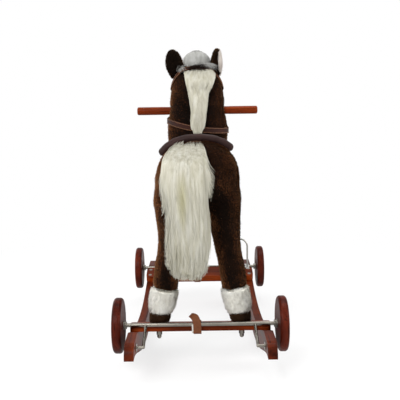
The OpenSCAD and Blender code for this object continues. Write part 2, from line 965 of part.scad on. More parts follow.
flap_front = 55;
flap_rear = -20;
flap_low = -20;
module saddle_flaps() {
  color(saddle_brown)
    difference() {
      both_sides()
        torso_strip(flap_front, flap_rear, 5, flap_low, seat_edge, 4, [[0, tack_t]]);
      torso_form();
      both_sides()
        rivet_pin(set_fit, proud);
    }
}

girth_half = 13;
// Angle that the girth goes round under the belly, from flap to flap
girth_reach = 140;
module girth() {
  color(leather)
    difference() {
      torso_strip(
        stirrup_y + girth_half, stirrup_y - girth_half, 2,
        flap_low - girth_reach, flap_low, 12, [[0, tack_t]]
      );
      torso_form();
    }
}

// Flat straps swept along a path of points with the direction that they face

function unit(v) = v / norm(v);
function strap_ring(path, i, half, under, over) =
  let (last = len(path) - 1, c = path[i][0], n = unit(path[i][1]),
    way = unit(path[min(i + 1, last)][0] - path[max(i - 1, 0)][0]),
    w = unit(cross(way, n)))
  [c + n * over + w * half, c - n * under + w * half, c - n * under - w * half, c + n * over - w * half];

module strap_sweep(path, half, under, over) {
  loft([for (i = [0 : len(path) - 1]) strap_ring(path, i, half, under, over)]);
}

// The noseband lies round the muzzle, and the cheek straps and reins start at its sides
nose_s = 44;
band_half = 6;
function neck_face(up, t, lift, off = 0) = [neck_point(up, t, off), [cos(t), sin(t), lift]];
function head_face(s, t) = [head_point(s, t), [cos(t), 0, 0]];

// The reins cross the back of the neck at a slant: they rise to the left and drop to the right
rein_up = 104;
rein_left = 20;
rein_right = -5;
function rein_rise(t) =
  (rein_left + rein_right) / 2 * pow(cos(t), 2) + (rein_right - rein_left) / 2 * cos(t);
rein_path = concat(
  [[head_point(nose_s, 180, tack_t + 3), [-1, 0, 0]]],
  [for (t = [180 : 15 : 360]) neck_face(rein_up + rein_rise(t), t, 0)],
  [[head_point(nose_s, 0, tack_t + 3), [1, 0, 0]]]
);
module rein_form() {
  strap_sweep(rein_path, 7, 2, tack_t);
}

module reins() {
  color(leather)
    difference() {
      rein_form();
      neck_form();
      torso_form();
    }
}

// Height above the torso's middle, angle round the neck, upward lean of the strap and its distance off the
// neck, which is large where it goes over the mane
crown_rows = [
  [206, 170, 0.1, 0], [214, 186, 0.2, 0], [230, 198, 0.4, 0], [244, 214, 0.7, 0], [252, 240, 1, 24],
  [254, 270, 1, 26], [252, 300, 1, 24], [244, 326, 0.7, 0], [230, 342, 0.4, 0], [214, 354, 0.2, 0],
  [206, 370, 0.1, 0]
];
crown_path = concat(
  [for (s = [nose_s + band_half - 2 : 20 : 118]) head_face(s, 170)],
  [for (r = crown_rows) neck_face(r[0], r[1], r[2], r[3])],
  [for (s = [118 : -20 : nose_s + band_half - 2]) head_face(s, 10)]
);
module crown_form() {
  strap_sweep(crown_path, band_half, tack_t, tack_t);
}

module bridle() {
  color(leather)
    difference() {
      union() {
        crown_form();
        loft([for (s = [nose_s - band_half, nose_s, nose_s + band_half])
          [for (t = steps(sides)) head_point(s, t, tack_t)]]);
      }
      head_form();
      neck_form();
      ear_form(left_ear_at, left_lean, left_ear_turn);
      ear_form(right_ear_at, right_lean, right_ear_turn);
    }
}

// Stirrups

rivet_at = torso_point(stirrup_y, 0, 0);
leather_in = torso_point(flap_rear, 0, tack_t).x + lie_gap;
leather_x = leather_in + leather_t / 2;
bar_z = rivet_at.z - leather_len;
rivet_head = 1.6;

// A rivet's inner end stays inside the flap, clear of the torso under it
rivet_end = rivet_at.x + tack_t / 3;
module rivet_pin(extra, longer = 0) {
  translate([0, stirrup_y, rivet_at.z])
    along_x(rivet_end - longer, leather_in + leather_t + lie_gap + rivet_head, rivet_r + extra);
}

module stirrup_rivets() {
  head_at = leather_in + leather_t + lie_gap;
  color(steel)
    both_sides() {
      rivet_pin(0);
      translate([0, stirrup_y, rivet_at.z])
        along_x(head_at, head_at + rivet_head, rivet_r * 2);
    }
}

// The right leather is twisted so that its stirrup faces ahead, and the left one hangs flat along the horse
right_turn = 0;
left_turn = 90;
// Places along a leather from its top end: drop below the rivet as a share of its length, and share of its
// twist
leather_rows = [
  [-0.06, 0], [0.1, 0], [0.3, 0], [0.45, 0.17], [0.6, 0.5], [0.75, 0.83], [0.88, 1], [0.98, 1]
];
module at_bar(turn) {
  translate([leather_x, stirrup_y, bar_z])
    rotate([0, 0, turn])
      children();
}

module leather_strap(turn) {
  loop_r = wire_d / 2 + run_fit;
  twist = 90 - turn;
  color(leather)
    difference() {
      union() {
        strap_sweep(
          [for (r = leather_rows)
            let (t = r[1] * twist)
            [[leather_x, stirrup_y, rivet_at.z - r[0] * leather_len], [cos(t), sin(t), 0]]],
          leather_w / 2, leather_t / 2, leather_t / 2);
        at_bar(turn)
          along_x(-leather_w / 2, leather_w / 2, loop_r + leather_t);
      }
      at_bar(turn)
        along_x(-leather_w, leather_w, loop_r);
      translate([0, stirrup_y, rivet_at.z])
        along_x(leather_in - proud, leather_in + leather_t + proud, rivet_r + run_fit);
    }
}

module rounded_plate(length, width, corner, thick) {
  linear_extrude(thick) {
    square([length - 2 * corner, width], center = true);
    square([length, width - 2 * corner], center = true);
    for (x = [-1, 1], y = [-1, 1])
      translate([x * (length / 2 - corner), y * (width / 2 - corner)])
        circle(corner);
  }
}

shoulder_r = 18;
tread_rim = 7;
module stirrup_iron(turn) {
  side_x = (stirrup_w - wire_d) / 2;
  flat = side_x - shoulder_r;
  post_h = stirrup_h - shoulder_r - tread_t;
  color(steel)
    at_bar(turn) {
      along_x(-flat, flat, wire_d / 2);
      both_sides() {
        translate([flat, 0, -shoulder_r])
          rotate([90, 0, 0])
            rotate_extrude(angle = 90)
              translate([shoulder_r, 0])
                circle(wire_d / 2);
        translate([side_x, 0, -shoulder_r - post_h])
          cylinder(r = wire_d / 2, h = post_h);
      }
      translate([0, 0, -stirrup_h])
        difference() {
          rounded_plate(stirrup_w + wire_d, tread_depth, 9, tread_t);
          translate([0, 0, -proud])
            rounded_plate(stirrup_w - 2 * tread_rim, tread_depth - 2 * tread_rim, 5, tread_t + 2 * proud);
        }
    }
}

module on_side(right) {
  mirror([right ? 0 : 1, 0, 0])
    children();
}

rocker(false);  // left_rocker
rocker(true);  // right_rocker
slat(true);  // rear_slat
slat(false);  // front_slat
slat_screws();
pivot_bushes();
axle(true);  // rear_axle
arm(true, false);  // rear_left_arm
arm(true, true);  // rear_right_arm
axle_collars(true);  // rear_axle_collars
axle_caps(true);  // rear_axle_caps
axle(false);  // front_axle
arm(false, false);  // front_left_arm
arm(false, true);  // front_right_arm
axle_collars(false);  // front_axle_collars
axle_caps(false);  // front_axle_caps
wheel(true, false);  // rear_left_wheel
wheel(true, true);  // rear_right_wheel
wheel(false, false);  // front_left_wheel
wheel(false, true);  // front_right_wheel
strap(true);  // rear_strap
strap(false);  // front_strap
leg_bolts();
leg_nuts();
leg_posts();
spine_board();
neck_post();
handle();
torso();
neck();
head();
left_ear();
right_ear();
eyes();
mane();
forelock();
tail();
leg(true, false);  // hind_left_leg
leg(true, true);  // hind_right_leg
leg(false, false);  // fore_left_leg
leg(false, true);  // fore_right_leg
sock(true, false);  // hind_left_sock
sock(true, true);  // hind_right_sock
sock(false, false);  // fore_left_sock
sock(false, true);  // fore_right_sock
hoof(true, false);  // hind_left_hoof
hoof(true, true);  // hind_right_hoof
hoof(false, false);  // fore_left_hoof
hoof(false, true);  // fore_right_hoof
saddle_seat();
saddle_cantle();
saddle_flaps();
girth();
bridle();
reins();
stirrup_rivets();
on_side(false) leather_strap(left_turn);  // left_leather
on_side(true) leather_strap(right_turn);  // right_leather
on_side(false) stirrup_iron(left_turn);  // left_stirrup
on_side(true) stirrup_iron(right_turn);  // right_stirrup
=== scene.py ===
"""Looks of the stuffed riding horse: plush, long hair, tack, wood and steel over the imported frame."""
import math

import bmesh
import bpy
import numpy as np
from mathutils import Matrix, Vector


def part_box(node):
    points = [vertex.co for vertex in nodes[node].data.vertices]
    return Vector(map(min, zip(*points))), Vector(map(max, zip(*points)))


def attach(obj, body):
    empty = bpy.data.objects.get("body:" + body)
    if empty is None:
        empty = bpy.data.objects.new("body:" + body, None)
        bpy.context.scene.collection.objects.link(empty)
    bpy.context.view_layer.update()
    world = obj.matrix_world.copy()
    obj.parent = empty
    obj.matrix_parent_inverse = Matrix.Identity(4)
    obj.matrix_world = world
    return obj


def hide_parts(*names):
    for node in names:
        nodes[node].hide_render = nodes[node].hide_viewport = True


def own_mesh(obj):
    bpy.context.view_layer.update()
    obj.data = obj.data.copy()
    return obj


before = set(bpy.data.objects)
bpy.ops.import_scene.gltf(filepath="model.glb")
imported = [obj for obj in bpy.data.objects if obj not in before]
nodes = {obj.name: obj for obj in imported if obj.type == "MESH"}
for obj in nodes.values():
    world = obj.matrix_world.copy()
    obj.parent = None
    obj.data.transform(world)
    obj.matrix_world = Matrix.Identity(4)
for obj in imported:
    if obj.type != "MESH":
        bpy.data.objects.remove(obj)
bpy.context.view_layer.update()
scene = bpy.context.scene
MM = 0.001
ROOT = "horse"


# Camera, light and floor, in metres and degrees

CAMERA_AT = (0.0, -1.494, 0.515)
LENS, SENSOR = 58.5, 36.0
PITCH_DOWN, ROLL, YAW = 7.81, -0.8, -0.12
WHITE = (1, 1, 1, 1)
FILL_LIGHT = 0.5
FLOOR_HALF, FLOOR_GREY = 6.0, (0.9, 0.9, 0.9, 1)
SHADE_NEAR, SHADE_FAR, GLOW_NEAR = 0.45, 1.15, 0.72
# Each light: its place, its aim, its size and its watts
LIGHTS = {
    "key": ((-1.1, -2.1, 2.0), (0, 0, 0.35), 1.4, 62),
    "side": ((2.2, -0.6, 1.2), (0, 0, 0.4), 1.4, 32),
    "left_side": ((-2.2, 0.2, 1.0), (0, 0, 0.4), 1.4, 18),
    "front": ((-1.7, 1.8, 1.3), (0, 0.2, 0.5), 1.4, 14),
    "top": ((0.3, 0.4, 2.4), (0, 0, 0.3), 1.2, 20),
}


def link(obj):
    scene.collection.objects.link(obj)
    return obj


class Tree:
    """A cleared node tree with short calls for its nodes and links."""

    def __init__(self, owner):
        owner.use_nodes = True
        self.tree = owner.node_tree
        self.tree.nodes.clear()

    def add(self, kind, how=None, **values):
        """A shader node with its operation and the values of its inputs."""
        made = self.tree.nodes.new("ShaderNode" + kind)
        if how:
            made.operation = how
        self.fill(made, values)
        return made

    def fill(self, node, values):
        for key, value in values.items():
            node.inputs[key.replace("_", " ")].default_value = value

    def wire(self, source, target):
        self.tree.links.new(source, target)

    def joined_by(self, how, first, second):
        """Two values joined by a calculation."""
        worked = self.add("Math", how)
        self.wire(first, worked.inputs[0])
        self.wire(second, worked.inputs[1])
        return worked.outputs[0]

    def seen_ray(self):
        """1 for camera, glossy and transmission rays, which see the white background."""
        path = self.add("LightPath").outputs
        seen = self.joined_by("MAXIMUM", path["Is Camera Ray"], path["Is Glossy Ray"])
        return self.joined_by("MAXIMUM", seen, path["Is Transmission Ray"])

    def split_by_ray(self, out, share, unseen, seen):
        """Mixes a shader for rays that light the scene with one for rays that see it, into an output."""
        mix = self.add("MixShader")
        for source, socket in zip((share, unseen.outputs[0], seen.outputs[0]), mix.inputs):
            self.wire(source, socket)
        self.wire(mix.outputs[0], self.add(out).inputs[0])


def make_camera():
    data = bpy.data.cameras.new("camera")
    data.sensor_width = SENSOR
    data.lens = LENS
    cam = link(bpy.data.objects.new("camera", data))
    cam.matrix_world = (
        Matrix.Translation(CAMERA_AT)
        @ Matrix.Rotation(math.radians(YAW), 4, "Z")
        @ Matrix.Rotation(math.radians(90 - PITCH_DOWN), 4, "X")
        @ Matrix.Rotation(math.radians(ROLL), 4, "Z")
    )
    scene.camera = cam


def make_world():
    scene.world = bpy.data.worlds.new("studio")
    tree = Tree(scene.world)
    fill = tree.add("Background", Color=WHITE, Strength=FILL_LIGHT)
    white = tree.add("Background", Color=WHITE, Strength=1.0)
    tree.split_by_ray("OutputWorld", tree.seen_ray(), fill, white)
    scene.view_settings.view_transform = "Standard"


def area_light(name, at, to, size, power):
    data = bpy.data.lights.new(name, "AREA")
    data.size = size
    data.energy = power
    lamp = link(bpy.data.objects.new(name, data))
    lamp.location = at
    lamp.rotation_euler = (Vector(to) - Vector(at)).to_track_quat("-Z", "Y").to_euler()


def make_floor():
    """A pale floor that turns white away from the horse."""
    h = FLOOR_HALF
    mesh = bpy.data.meshes.new("floor")
    mesh.from_pydata([(-h, -h, 0), (h, -h, 0), (h, h, 0), (-h, h, 0)], [], [(0, 1, 2, 3)])
    floor = link(bpy.data.objects.new("floor", mesh))
    mat = bpy.data.materials.new("floor")
    tree = Tree(mat)
    away = tree.add("VectorMath", "LENGTH")
    fade = tree.add("MapRange", From_Min=SHADE_NEAR, From_Max=SHADE_FAR, To_Min=GLOW_NEAR, To_Max=1.0)
    fade.interpolation_type = "SMOOTHSTEP"
    tree.wire(tree.add("TexCoord").outputs["Object"], away.inputs[0])
    tree.wire(away.outputs["Value"], fade.inputs[0])
    matt = tree.add("BsdfDiffuse", Color=FLOOR_GREY)
    glow = tree.add("Emission", Color=WHITE, Strength=1.0)
    white_share = tree.joined_by("MULTIPLY", tree.seen_ray(), fade.outputs[0])
    tree.split_by_ray("OutputMaterial", white_share, matt, glow)
    mesh.materials.append(mat)


make_camera()
make_world()
for lamp_name, settings in LIGHTS.items():
    area_light(lamp_name, *settings)
make_floor()


# Materials


def linear(tone):
    """A colour in steps of 0 to 255 as the shaders' linear values."""
    parts = [c / 255.0 for c in tone]
    return tuple(c / 12.92 if c <= 0.04045 else ((c + 0.055) / 1.055) ** 2.4 for c in parts) + (1.0,)


def drawn_out(axis, across, along):
    """Scales of a pattern that runs along one axis."""
    return tuple(along if a == axis else across for a in "xyz")


class Shader(Tree):
    """A material with a Principled shader and short calls for its patterns."""

    def __init__(self, name, rough, metal=0.0):
        self.mat = bpy.data.materials.new(name)
        super().__init__(self.mat)
        self.bsdf = self.add("BsdfPrincipled", Roughness=rough, Metallic=metal)
        self.wire(self.bsdf.outputs[0], self.add("OutputMaterial").inputs[0])
        self.coords = self.add("TexCoord").outputs["Object"]

    def set(self, **values):
        self.fill(self.bsdf, values)

    def texture(self, kind, stretch, **values):
        """A texture in the object's coordinates, with a scale for each axis if they are given."""
        tex = self.add(kind, **values)
        place = self.coords
        if stretch:
            mapping = self.add("Mapping", Scale=stretch)
            self.wire(self.coords, mapping.inputs["Vector"])
            place = mapping.outputs[0]
        self.wire(place, tex.inputs["Vector"])
        return tex.outputs

    def noise(self, scale, detail=4.0, stretch=None, rough=0.6, warp=0.0):
        values = {"Scale": scale, "Detail": detail, "Roughness": rough, "Distortion": warp}
        return self.texture("TexNoise", stretch, **values)["Fac"]

    def cells(self, scale):
        return self.texture("TexVoronoi", None, Scale=scale)["Distance"]

    def ramp(self, fac, *stops):
        """A colour ramp. A stop's colour may be one number, which is a grey."""
        ramp = self.add("ValToRGB")
        while len(ramp.color_ramp.elements) < len(stops):
            ramp.color_ramp.elements.new(0.5)
        for element, (place, colour) in zip(ramp.color_ramp.elements, stops):
            element.position = place
            element.color = colour if isinstance(colour, tuple) else (colour, colour, colour, 1)
        self.wire(fac, ramp.inputs[0])
        return ramp.outputs[0]

    def mix(self, fac, a, b, how="MIX"):
        mix = self.add("Mix")
        mix.data_type = "RGBA"
        mix.blend_type = how
        for source, socket in ((fac, mix.inputs[0]), (a, mix.inputs[6]), (b, mix.inputs[7])):
            if isinstance(source, (tuple, float)):
                socket.default_value = source
            else:
                self.wire(source, socket)
        return mix.outputs[2]

    def spot(self, centre, radii):
        """A soft patch: 1 at the centre and 0 at the radii."""
        mapping = self.add("Mapping", Location=tuple(-c / r for c, r in zip(centre, radii)),
                           Scale=tuple(1 / r for r in radii))
        size = self.add("VectorMath", "LENGTH")
        self.wire(self.coords, mapping.inputs["Vector"])
        self.wire(mapping.outputs[0], size.inputs[0])
        return self.ramp(size.outputs["Value"], (0.0, 1), (1.0, 0))

    def sideways(self, low, high):
        """0 to 1 as the surface turns to face the left or the right."""
        parts = self.add("SeparateXYZ")
        size = self.add("Math", "ABSOLUTE")
        self.wire(self.add("NewGeometry").outputs["Normal"], parts.inputs[0])
        self.wire(parts.outputs["X"], size.inputs[0])
        return self.ramp(size.outputs[0], (low, 0), (high, 1))

    def by_height(self, *stops):
        """A grey that changes with the height above the floor, in metres."""
        parts = self.add("SeparateXYZ")
        self.wire(self.coords, parts.inputs[0])
        return self.ramp(parts.outputs["Z"], *stops)

    def colour(self, socket):
        self.wire(socket, self.bsdf.inputs["Base Color"])

    def spread(self, fac, rough):
        """Roughness that varies about a value."""
        span = self.add("MapRange", To_Min=rough[0], To_Max=rough[1])
        self.wire(fac, span.inputs[0])
        self.wire(span.outputs[0], self.bsdf.inputs["Roughness"])

    def bump(self, height, strength, distance, edge=0.0):
        bump = self.add("Bump", Strength=strength, Distance=distance)
        self.wire(height, bump.inputs["Height"])
        if edge:
            bevel = self.add("Bevel", Radius=edge)
            bevel.samples = 6
            self.wire(bevel.outputs[0], bump.inputs["Normal"])
        self.wire(bump.outputs[0], self.bsdf.inputs["Normal"])


def wood(name, along, dark, mid, light, rough=0.36, coat=0.03):
    """Stained wood whose grain runs along X, Y or Z."""
    s = Shader(name, rough)
    dark, mid, light = map(linear, (dark, mid, light))
    figure = s.noise(1.0, 5.0, drawn_out(along, 36.0, 2.4), 0.62, 0.6)
    pore = s.noise(1.0, 2.0, drawn_out(along, 420.0, 14.0), 0.5)
    blotch = s.noise(14.0, 3.0)
    stain = s.ramp(figure, (0.28, dark), (0.5, mid), (0.74, light))
    pored = s.mix(s.ramp(pore, (0.3, 1), (0.42, 0)), stain, dark)
    s.colour(s.mix(s.ramp(blotch, (0.35, 0), (0.75, 0.45)), pored, dark))
    s.spread(figure, (rough - 0.06, rough + 0.1))
    s.set(Coat_Weight=coat, Coat_Roughness=0.2, Specular_IOR_Level=0.03)
    s.bump(pore, 0.12, 0.0004, 0.0014)
    return s.mat


def speckled(name, rough, dark, light, pattern, strength, distance, **values):
    """A plain material with two tones and a bump that follow one noise."""
    s = Shader(name, rough)
    figure = s.noise(*pattern)
    s.colour(s.ramp(figure, (0.3, linear(dark)), (0.7, linear(light))))
    s.set(**values)
    s.bump(figure, strength, distance)
    return s.mat


def metal(name, tone, rough):
    """Steel with fine drawn lines and cloudy tones."""
    s = Shader(name, rough, 1.0)
    tone = linear(tone)
    lines = s.noise(1.0, 2.0, drawn_out("x", 900.0, 30.0))
    cloud = s.noise(55.0, 3.0)
    s.colour(s.ramp(cloud, (0.3, tuple(c * 0.72 for c in tone[:3]) + (1,)), (0.7, tone)))
    s.spread(lines, (rough - 0.08, rough + 0.12))
    s.bump(lines, 0.08, 0.0002, 0.0005)
    return s.mat


def hide(name, dark, light, rough, grain, worn=0.25):
    """Leather with fine grain, creases and worn patches."""
    s = Shader(name, rough)
    dark, light = linear(dark), linear(light)
    cell = s.cells(grain)
    crease = s.noise(70.0, 5.0, None, 0.65, 0.8)
    patch = s.noise(24.0, 4.0)
    base = s.ramp(patch, (0.3, dark), (0.72, light))
    s.colour(s.mix(s.ramp(crease, (0.58, 0), (0.8, worn)), base, light))
    s.spread(patch, (rough - 0.08, rough + 0.12))
    s.set(Specular_IOR_Level=0.1)
    height = s.mix(0.45, s.ramp(cell, (0.0, 0), (0.6, 1)), s.ramp(crease, (0.3, 0), (0.7, 1)))
    s.bump(height, 0.35, 0.0006)
    return s.mat


# Painted light on the brown plush: a painted sheen on faces that look sideways, a painted highlight patch on
# the right hip, nothing on the head
LIT_SIDES = (0.36, 0.8)
LIT_HIP = ((0.06, -0.15, 0.435), (0.09, 0.1, 0.075))
LIT_HEIGHTS = ((0.57, 1), (0.62, 0))


def plush(name, dark, mid, light, tint, sheen, scale=1.0, painted_lit_tone=None):
    """Short pile: tone changes in soft patches where the pile leans, with a velvety sheen, and painted light
    where a lit tone is given.
    """
    s = Shader(name, 0.85)
    dark, mid, light = map(linear, (dark, mid, light))
    patch = s.noise(15.0 * scale, 4.0, None, 0.55, 0.7)
    fine = s.noise(1.0, 3.0, drawn_out("z", 900.0, 260.0), 0.7)
    tone = s.ramp(patch, (0.32, dark), (0.52, mid), (0.74, light))
    # Painted light: a lit brown on faces that look sideways and a painted highlight on the right hip, broken
    # into patches by noise, none on the head
    if painted_lit_tone is not None:
        lit_breakup = s.noise(22.0, 3.0, None, 0.6, 0.5)
        patches = s.ramp(lit_breakup, (0.36, 0.4), (0.62, 0.92))
        lit = s.mix(1.0, s.sideways(*LIT_SIDES), s.spot(*LIT_HIP), "LIGHTEN")
        lit = s.mix(1.0, s.mix(1.0, lit, patches, "MULTIPLY"), s.by_height(*LIT_HEIGHTS), "MULTIPLY")
        tone = s.mix(lit, tone, linear(painted_lit_tone))
    s.colour(s.mix(s.ramp(fine, (0.35, 0.42), (0.65, 0)), tone, dark))
    s.set(Specular_IOR_Level=0.04, Sheen_Weight=sheen, Sheen_Roughness=0.42, Sheen_Tint=tint)
    s.bump(fine, 0.3, 0.0006)
    return s.mat


# Brightness of long hair by height in metres, and a yellower painted shade in the parting down the middle of
# the tail
HAIR_TONES = (
    (0.238, 0.56), (0.35, 0.59), (0.435, 0.71), (0.495, 0.69), (0.55, 0.7), (0.6, 0.68), (0.648, 0.64),
)
HAIR_PARTING_SHADE = ((-0.031, -0.265, 0.345), (0.013, 0.05, 0.06))


def long_hair(name, shade, mid, light, parting_shade=None):
    """Pale hair in streaks that run down the tuft."""
    s = Shader(name, 0.55)
    shade, mid, light = map(linear, (shade, mid, light))
    streak = s.noise(1.0, 4.0, drawn_out("z", 120.0, 7.0), 0.6, 0.4)
    cloud = s.noise(16.0, 2.0)
    tone = s.ramp(streak, (0.3, shade), (0.48, mid), (0.66, light))
    tone = s.mix(s.ramp(cloud, (0.45, 0), (0.8, 0.4)), tone, shade)
    # Painted shade: a yellower tone in the parting down the middle of the tail
    if parting_shade is not None:
        tone = s.mix(s.spot(*HAIR_PARTING_SHADE), tone, linear(parting_shade))
    s.colour(s.mix(1.0, tone, s.by_height(*HAIR_TONES), "MULTIPLY"))
    s.set(Specular_IOR_Level=0.25, Sheen_Weight=0.15, Sheen_Roughness=0.4)
    s.bump(streak, 0.25, 0.0008)
    return s.mat


def thread(name, dark, light):
    return speckled(name, 0.7, dark, light, (900.0, 2.0), 0.3, 0.0003)


ROCKER_WOOD = wood("rocker_wood", "y", (38, 12, 6), (82, 30, 13), (118, 50, 22))
SLAT_WOOD = wood("slat_wood", "x", (62, 20, 5), (122, 46, 12), (154, 68, 22))
WHEEL_WOOD = wood("wheel_wood", "z", (36, 11, 7), (74, 25, 14), (106, 42, 25))
HANDLE_WOOD = wood("handle_wood", "x", (62, 19, 4), (112, 41, 9), (142, 60, 12), 0.34, 0.05)
FRAME_WOOD = speckled("frame_wood", 0.6, (176, 136, 88), (214, 180, 130),
                      (1.0, 4.0, drawn_out("z", 30.0, 3.0)), 0.2, 0.0004)
STEEL = metal("zinc_steel", (134, 129, 120), 0.26)
BRIGHT_STEEL = metal("bright_steel", (172, 170, 165), 0.22)
STRAP_LEATHER = hide("strap_leather", (76, 42, 26), (116, 70, 44), 0.6, 380.0, 0.4)
STRAP_LINING = hide("strap_lining", (172, 166, 158), (204, 200, 192), 0.7, 380.0, 0.3)
TACK_LEATHER = hide("tack_leather", (30, 14, 10), (54, 27, 19), 0.55, 520.0)
TACK_EDGE = hide("tack_edge", (64, 39, 25), (98, 62, 40), 0.6, 520.0)
SADDLE_LEATHER = hide("saddle_leather", (30, 18, 17), (54, 34, 31), 0.5, 460.0)
BROWN_SKIN = plush("brown_skin", (12, 7, 5), (20, 11, 8), (32, 18, 11), (0.24, 0.12, 0.06, 1), 0.25)
BROWN_PILE = plush("brown_pile", (11, 6, 4), (17, 10, 7), (32, 18, 10), (0.5, 0.26, 0.12, 1), 0.5,
                   painted_lit_tone=(98, 55, 28))
HOOF_PILE = plush("hoof_pile", (34, 21, 12), (54, 34, 20), (78, 50, 30), (0.3, 0.18, 0.1, 1), 0.3)
WHITE_PILE = plush("white_pile", (230, 227, 216), (241, 239, 230), (247, 246, 240), WHITE, 0.12, 2.0)
# The last colour of a long hair, where given, is its painted shade in the tail's parting
WHITE_HAIR = long_hair("white_hair", (204, 199, 176), (227, 223, 204), (243, 241, 227), (202, 196, 152))
HAIR_CORE = long_hair("hair_core", (183, 179, 158), (199, 195, 176), (213, 210, 193), (187, 180, 140))
UNDER_HAIR = long_hair("under_hair", (188, 183, 160), (211, 206, 187), (225, 221, 205), (192, 186, 142))
LOCK_HAIR = long_hair("lock_hair", (164, 164, 159), (184, 184, 179), (200, 200, 196))
EAR_LINING = plush("ear_lining", (192, 182, 174), (206, 198, 190), (216, 209, 202), WHITE, 0.05, 2.0)
PALE_THREAD = thread("pale_thread", (120, 80, 50), (164, 118, 80))
DARK_THREAD = thread("dark_thread", (60, 40, 34), (98, 66, 54))
NOSE_FELT = plush("nose_felt", (16, 10, 8), (26, 16, 12), (38, 24, 18), (0.2, 0.12, 0.08, 1), 0.2)
EYE = speckled("eye_gloss", 0.08, (10, 7, 5), (34, 20, 12), (180.0, 3.0), 0.02, 0.0001,
               Coat_Weight=0.1, Coat_Roughness=0.03, Specular_IOR_Level=0.1)


def dress(material, *names):
    for n in names:
        data = nodes[n].data
        data.materials.clear()
        data.materials.append(material)


ENDS, SIDES = ("rear", "front"), ("left", "right")
dress(ROCKER_WOOD, "left_rocker", "right_rocker")
dress(SLAT_WOOD, "rear_slat", "front_slat")
dress(WHEEL_WOOD, *[f"{end}_{side}_wheel" for end in ENDS for side in SIDES])
dress(HANDLE_WOOD, "handle")
dress(FRAME_WOOD, "leg_posts", "spine_board", "neck_post")
dress(STEEL, "pivot_bushes", "slat_screws", "leg_bolts", "leg_nuts")
dress(STEEL, *[f"{end}_axle{piece}" for end in ENDS for piece in ("", "_collars", "_caps")])
dress(STEEL, *[f"{end}_{side}_arm" for end in ENDS for side in SIDES])
dress(BRIGHT_STEEL, "left_stirrup", "right_stirrup", "stirrup_rivets")
dress(EYE, "eyes")


# Mesh tools


def settle(piece, stands_for=(), body=ROOT):
    """Gives a piece its body and hides the nodes that it stands for."""
    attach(piece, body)
    if stands_for:
        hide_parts(*stands_for)


def smooth_mesh(name, verts, faces, material):
    mesh = bpy.data.meshes.new(name)
    mesh.from_pydata([tuple(map(float, v)) for v in verts], [], [tuple(map(int, f)) for f in faces])
    mesh.validate()
    mesh.materials.append(material)
    mesh.shade_smooth()
    return link(bpy.data.objects.new(name, mesh))


def triangles(name, verts, tris, material, normals):
    """A large triangle mesh from arrays, with a normal given for each vertex."""
    mesh = bpy.data.meshes.new(name)
    mesh.vertices.add(len(verts))
    mesh.vertices.foreach_set("co", np.ascontiguousarray(verts, np.float32).ravel())
    mesh.loops.add(len(tris) * 3)
    mesh.loops.foreach_set("vertex_index", np.ascontiguousarray(tris, np.int32).ravel())
    mesh.polygons.add(len(tris))
    mesh.polygons.foreach_set("loop_start", np.arange(0, len(tris) * 3, 3, dtype=np.int32))
    mesh.update(calc_edges=True)
    mesh.validate()
    mesh.materials.append(material)
    mesh.shade_smooth()
    mesh.normals_split_custom_set_from_vertices(np.ascontiguousarray(normals, np.float32))
    return link(bpy.data.objects.new(name, mesh))


def numbers(items, key, kind=float):
    got = np.empty(len(items) * 3, kind)
    items.foreach_get(key, got)
    return got.reshape(-1, 3)


def arrays(mesh):
    """Vertices, triangles and vertex normals of a mesh."""
    mesh.calc_loop_triangles()
    tris = numbers(mesh.loop_triangles, "vertices", np.int32)
    return numbers(mesh.vertices, "co"), tris, numbers(mesh.vertices, "normal")


def move_points(mesh, verts):
    mesh.vertices.foreach_set("co", verts.ravel())
    mesh.update()


def after_modifiers(obj):
    return bpy.data.meshes.new_from_object(obj.evaluated_get(bpy.context.evaluated_depsgraph_get()))


def through_modifiers(mesh, *settings):
    """The mesh after a stack of modifiers, each a kind and its values."""
    obj = link(bpy.data.objects.new("work", mesh))
    for kind, values in settings:
        mod = obj.modifiers.new(kind, kind)
        for key, value in values.items():
            setattr(mod, key, value)
    done = after_modifiers(obj)
    bpy.data.objects.remove(obj)
    return done


def joined(names):
    work = bmesh.new()
    for n in names:
        work.from_mesh(nodes[n].data)
    bmesh.ops.remove_doubles(work, verts=work.verts, dist=1e-6)
    mesh = bpy.data.meshes.new("joined")
    work.to_mesh(mesh)
    work.free()
    return mesh


def lumps(points, size, seed):
    """Soft uneven values between -1 and 1 over space, with features of about that size."""
    rng = np.random.default_rng(seed)
    total = np.zeros(len(points))
    for _ in range(7):
        wave = rng.normal(size=3)
        wave *= 2 * math.pi / size / np.linalg.norm(wave) * rng.uniform(0.7, 1.4)
        total += np.sin(points @ wave + rng.uniform(0, 6.28))
    return total / 4.0


LUMP_SIZE = 0.07


def soft_skin(name, names, material, voxel, rounds, sink, swell):
    """One smooth skin over the union of some nodes, set back from their surface and a little uneven."""
    mesh = through_modifiers(
        joined(names),
        ("REMESH", {"mode": "VOXEL", "voxel_size": voxel}),
        ("SMOOTH", {"factor": 0.5, "iterations": rounds}),
    )
    verts, _, normals = arrays(mesh)
    move_points(mesh, verts + normals * (lumps(verts, LUMP_SIZE, len(names)) * swell - sink)[:, None])
    mesh.materials.clear()
    mesh.materials.append(material)
    mesh.shade_smooth()
    mesh.name = name
    return link(bpy.data.objects.new(name, mesh))


def unit(v):
    return v / np.maximum(np.linalg.norm(v, axis=-1, keepdims=True), 1e-12)


UP, DOWN, DOWN_AND_BACK = (0, 0, 1), (0, 0, -1), (0.0, -0.35, -0.94)


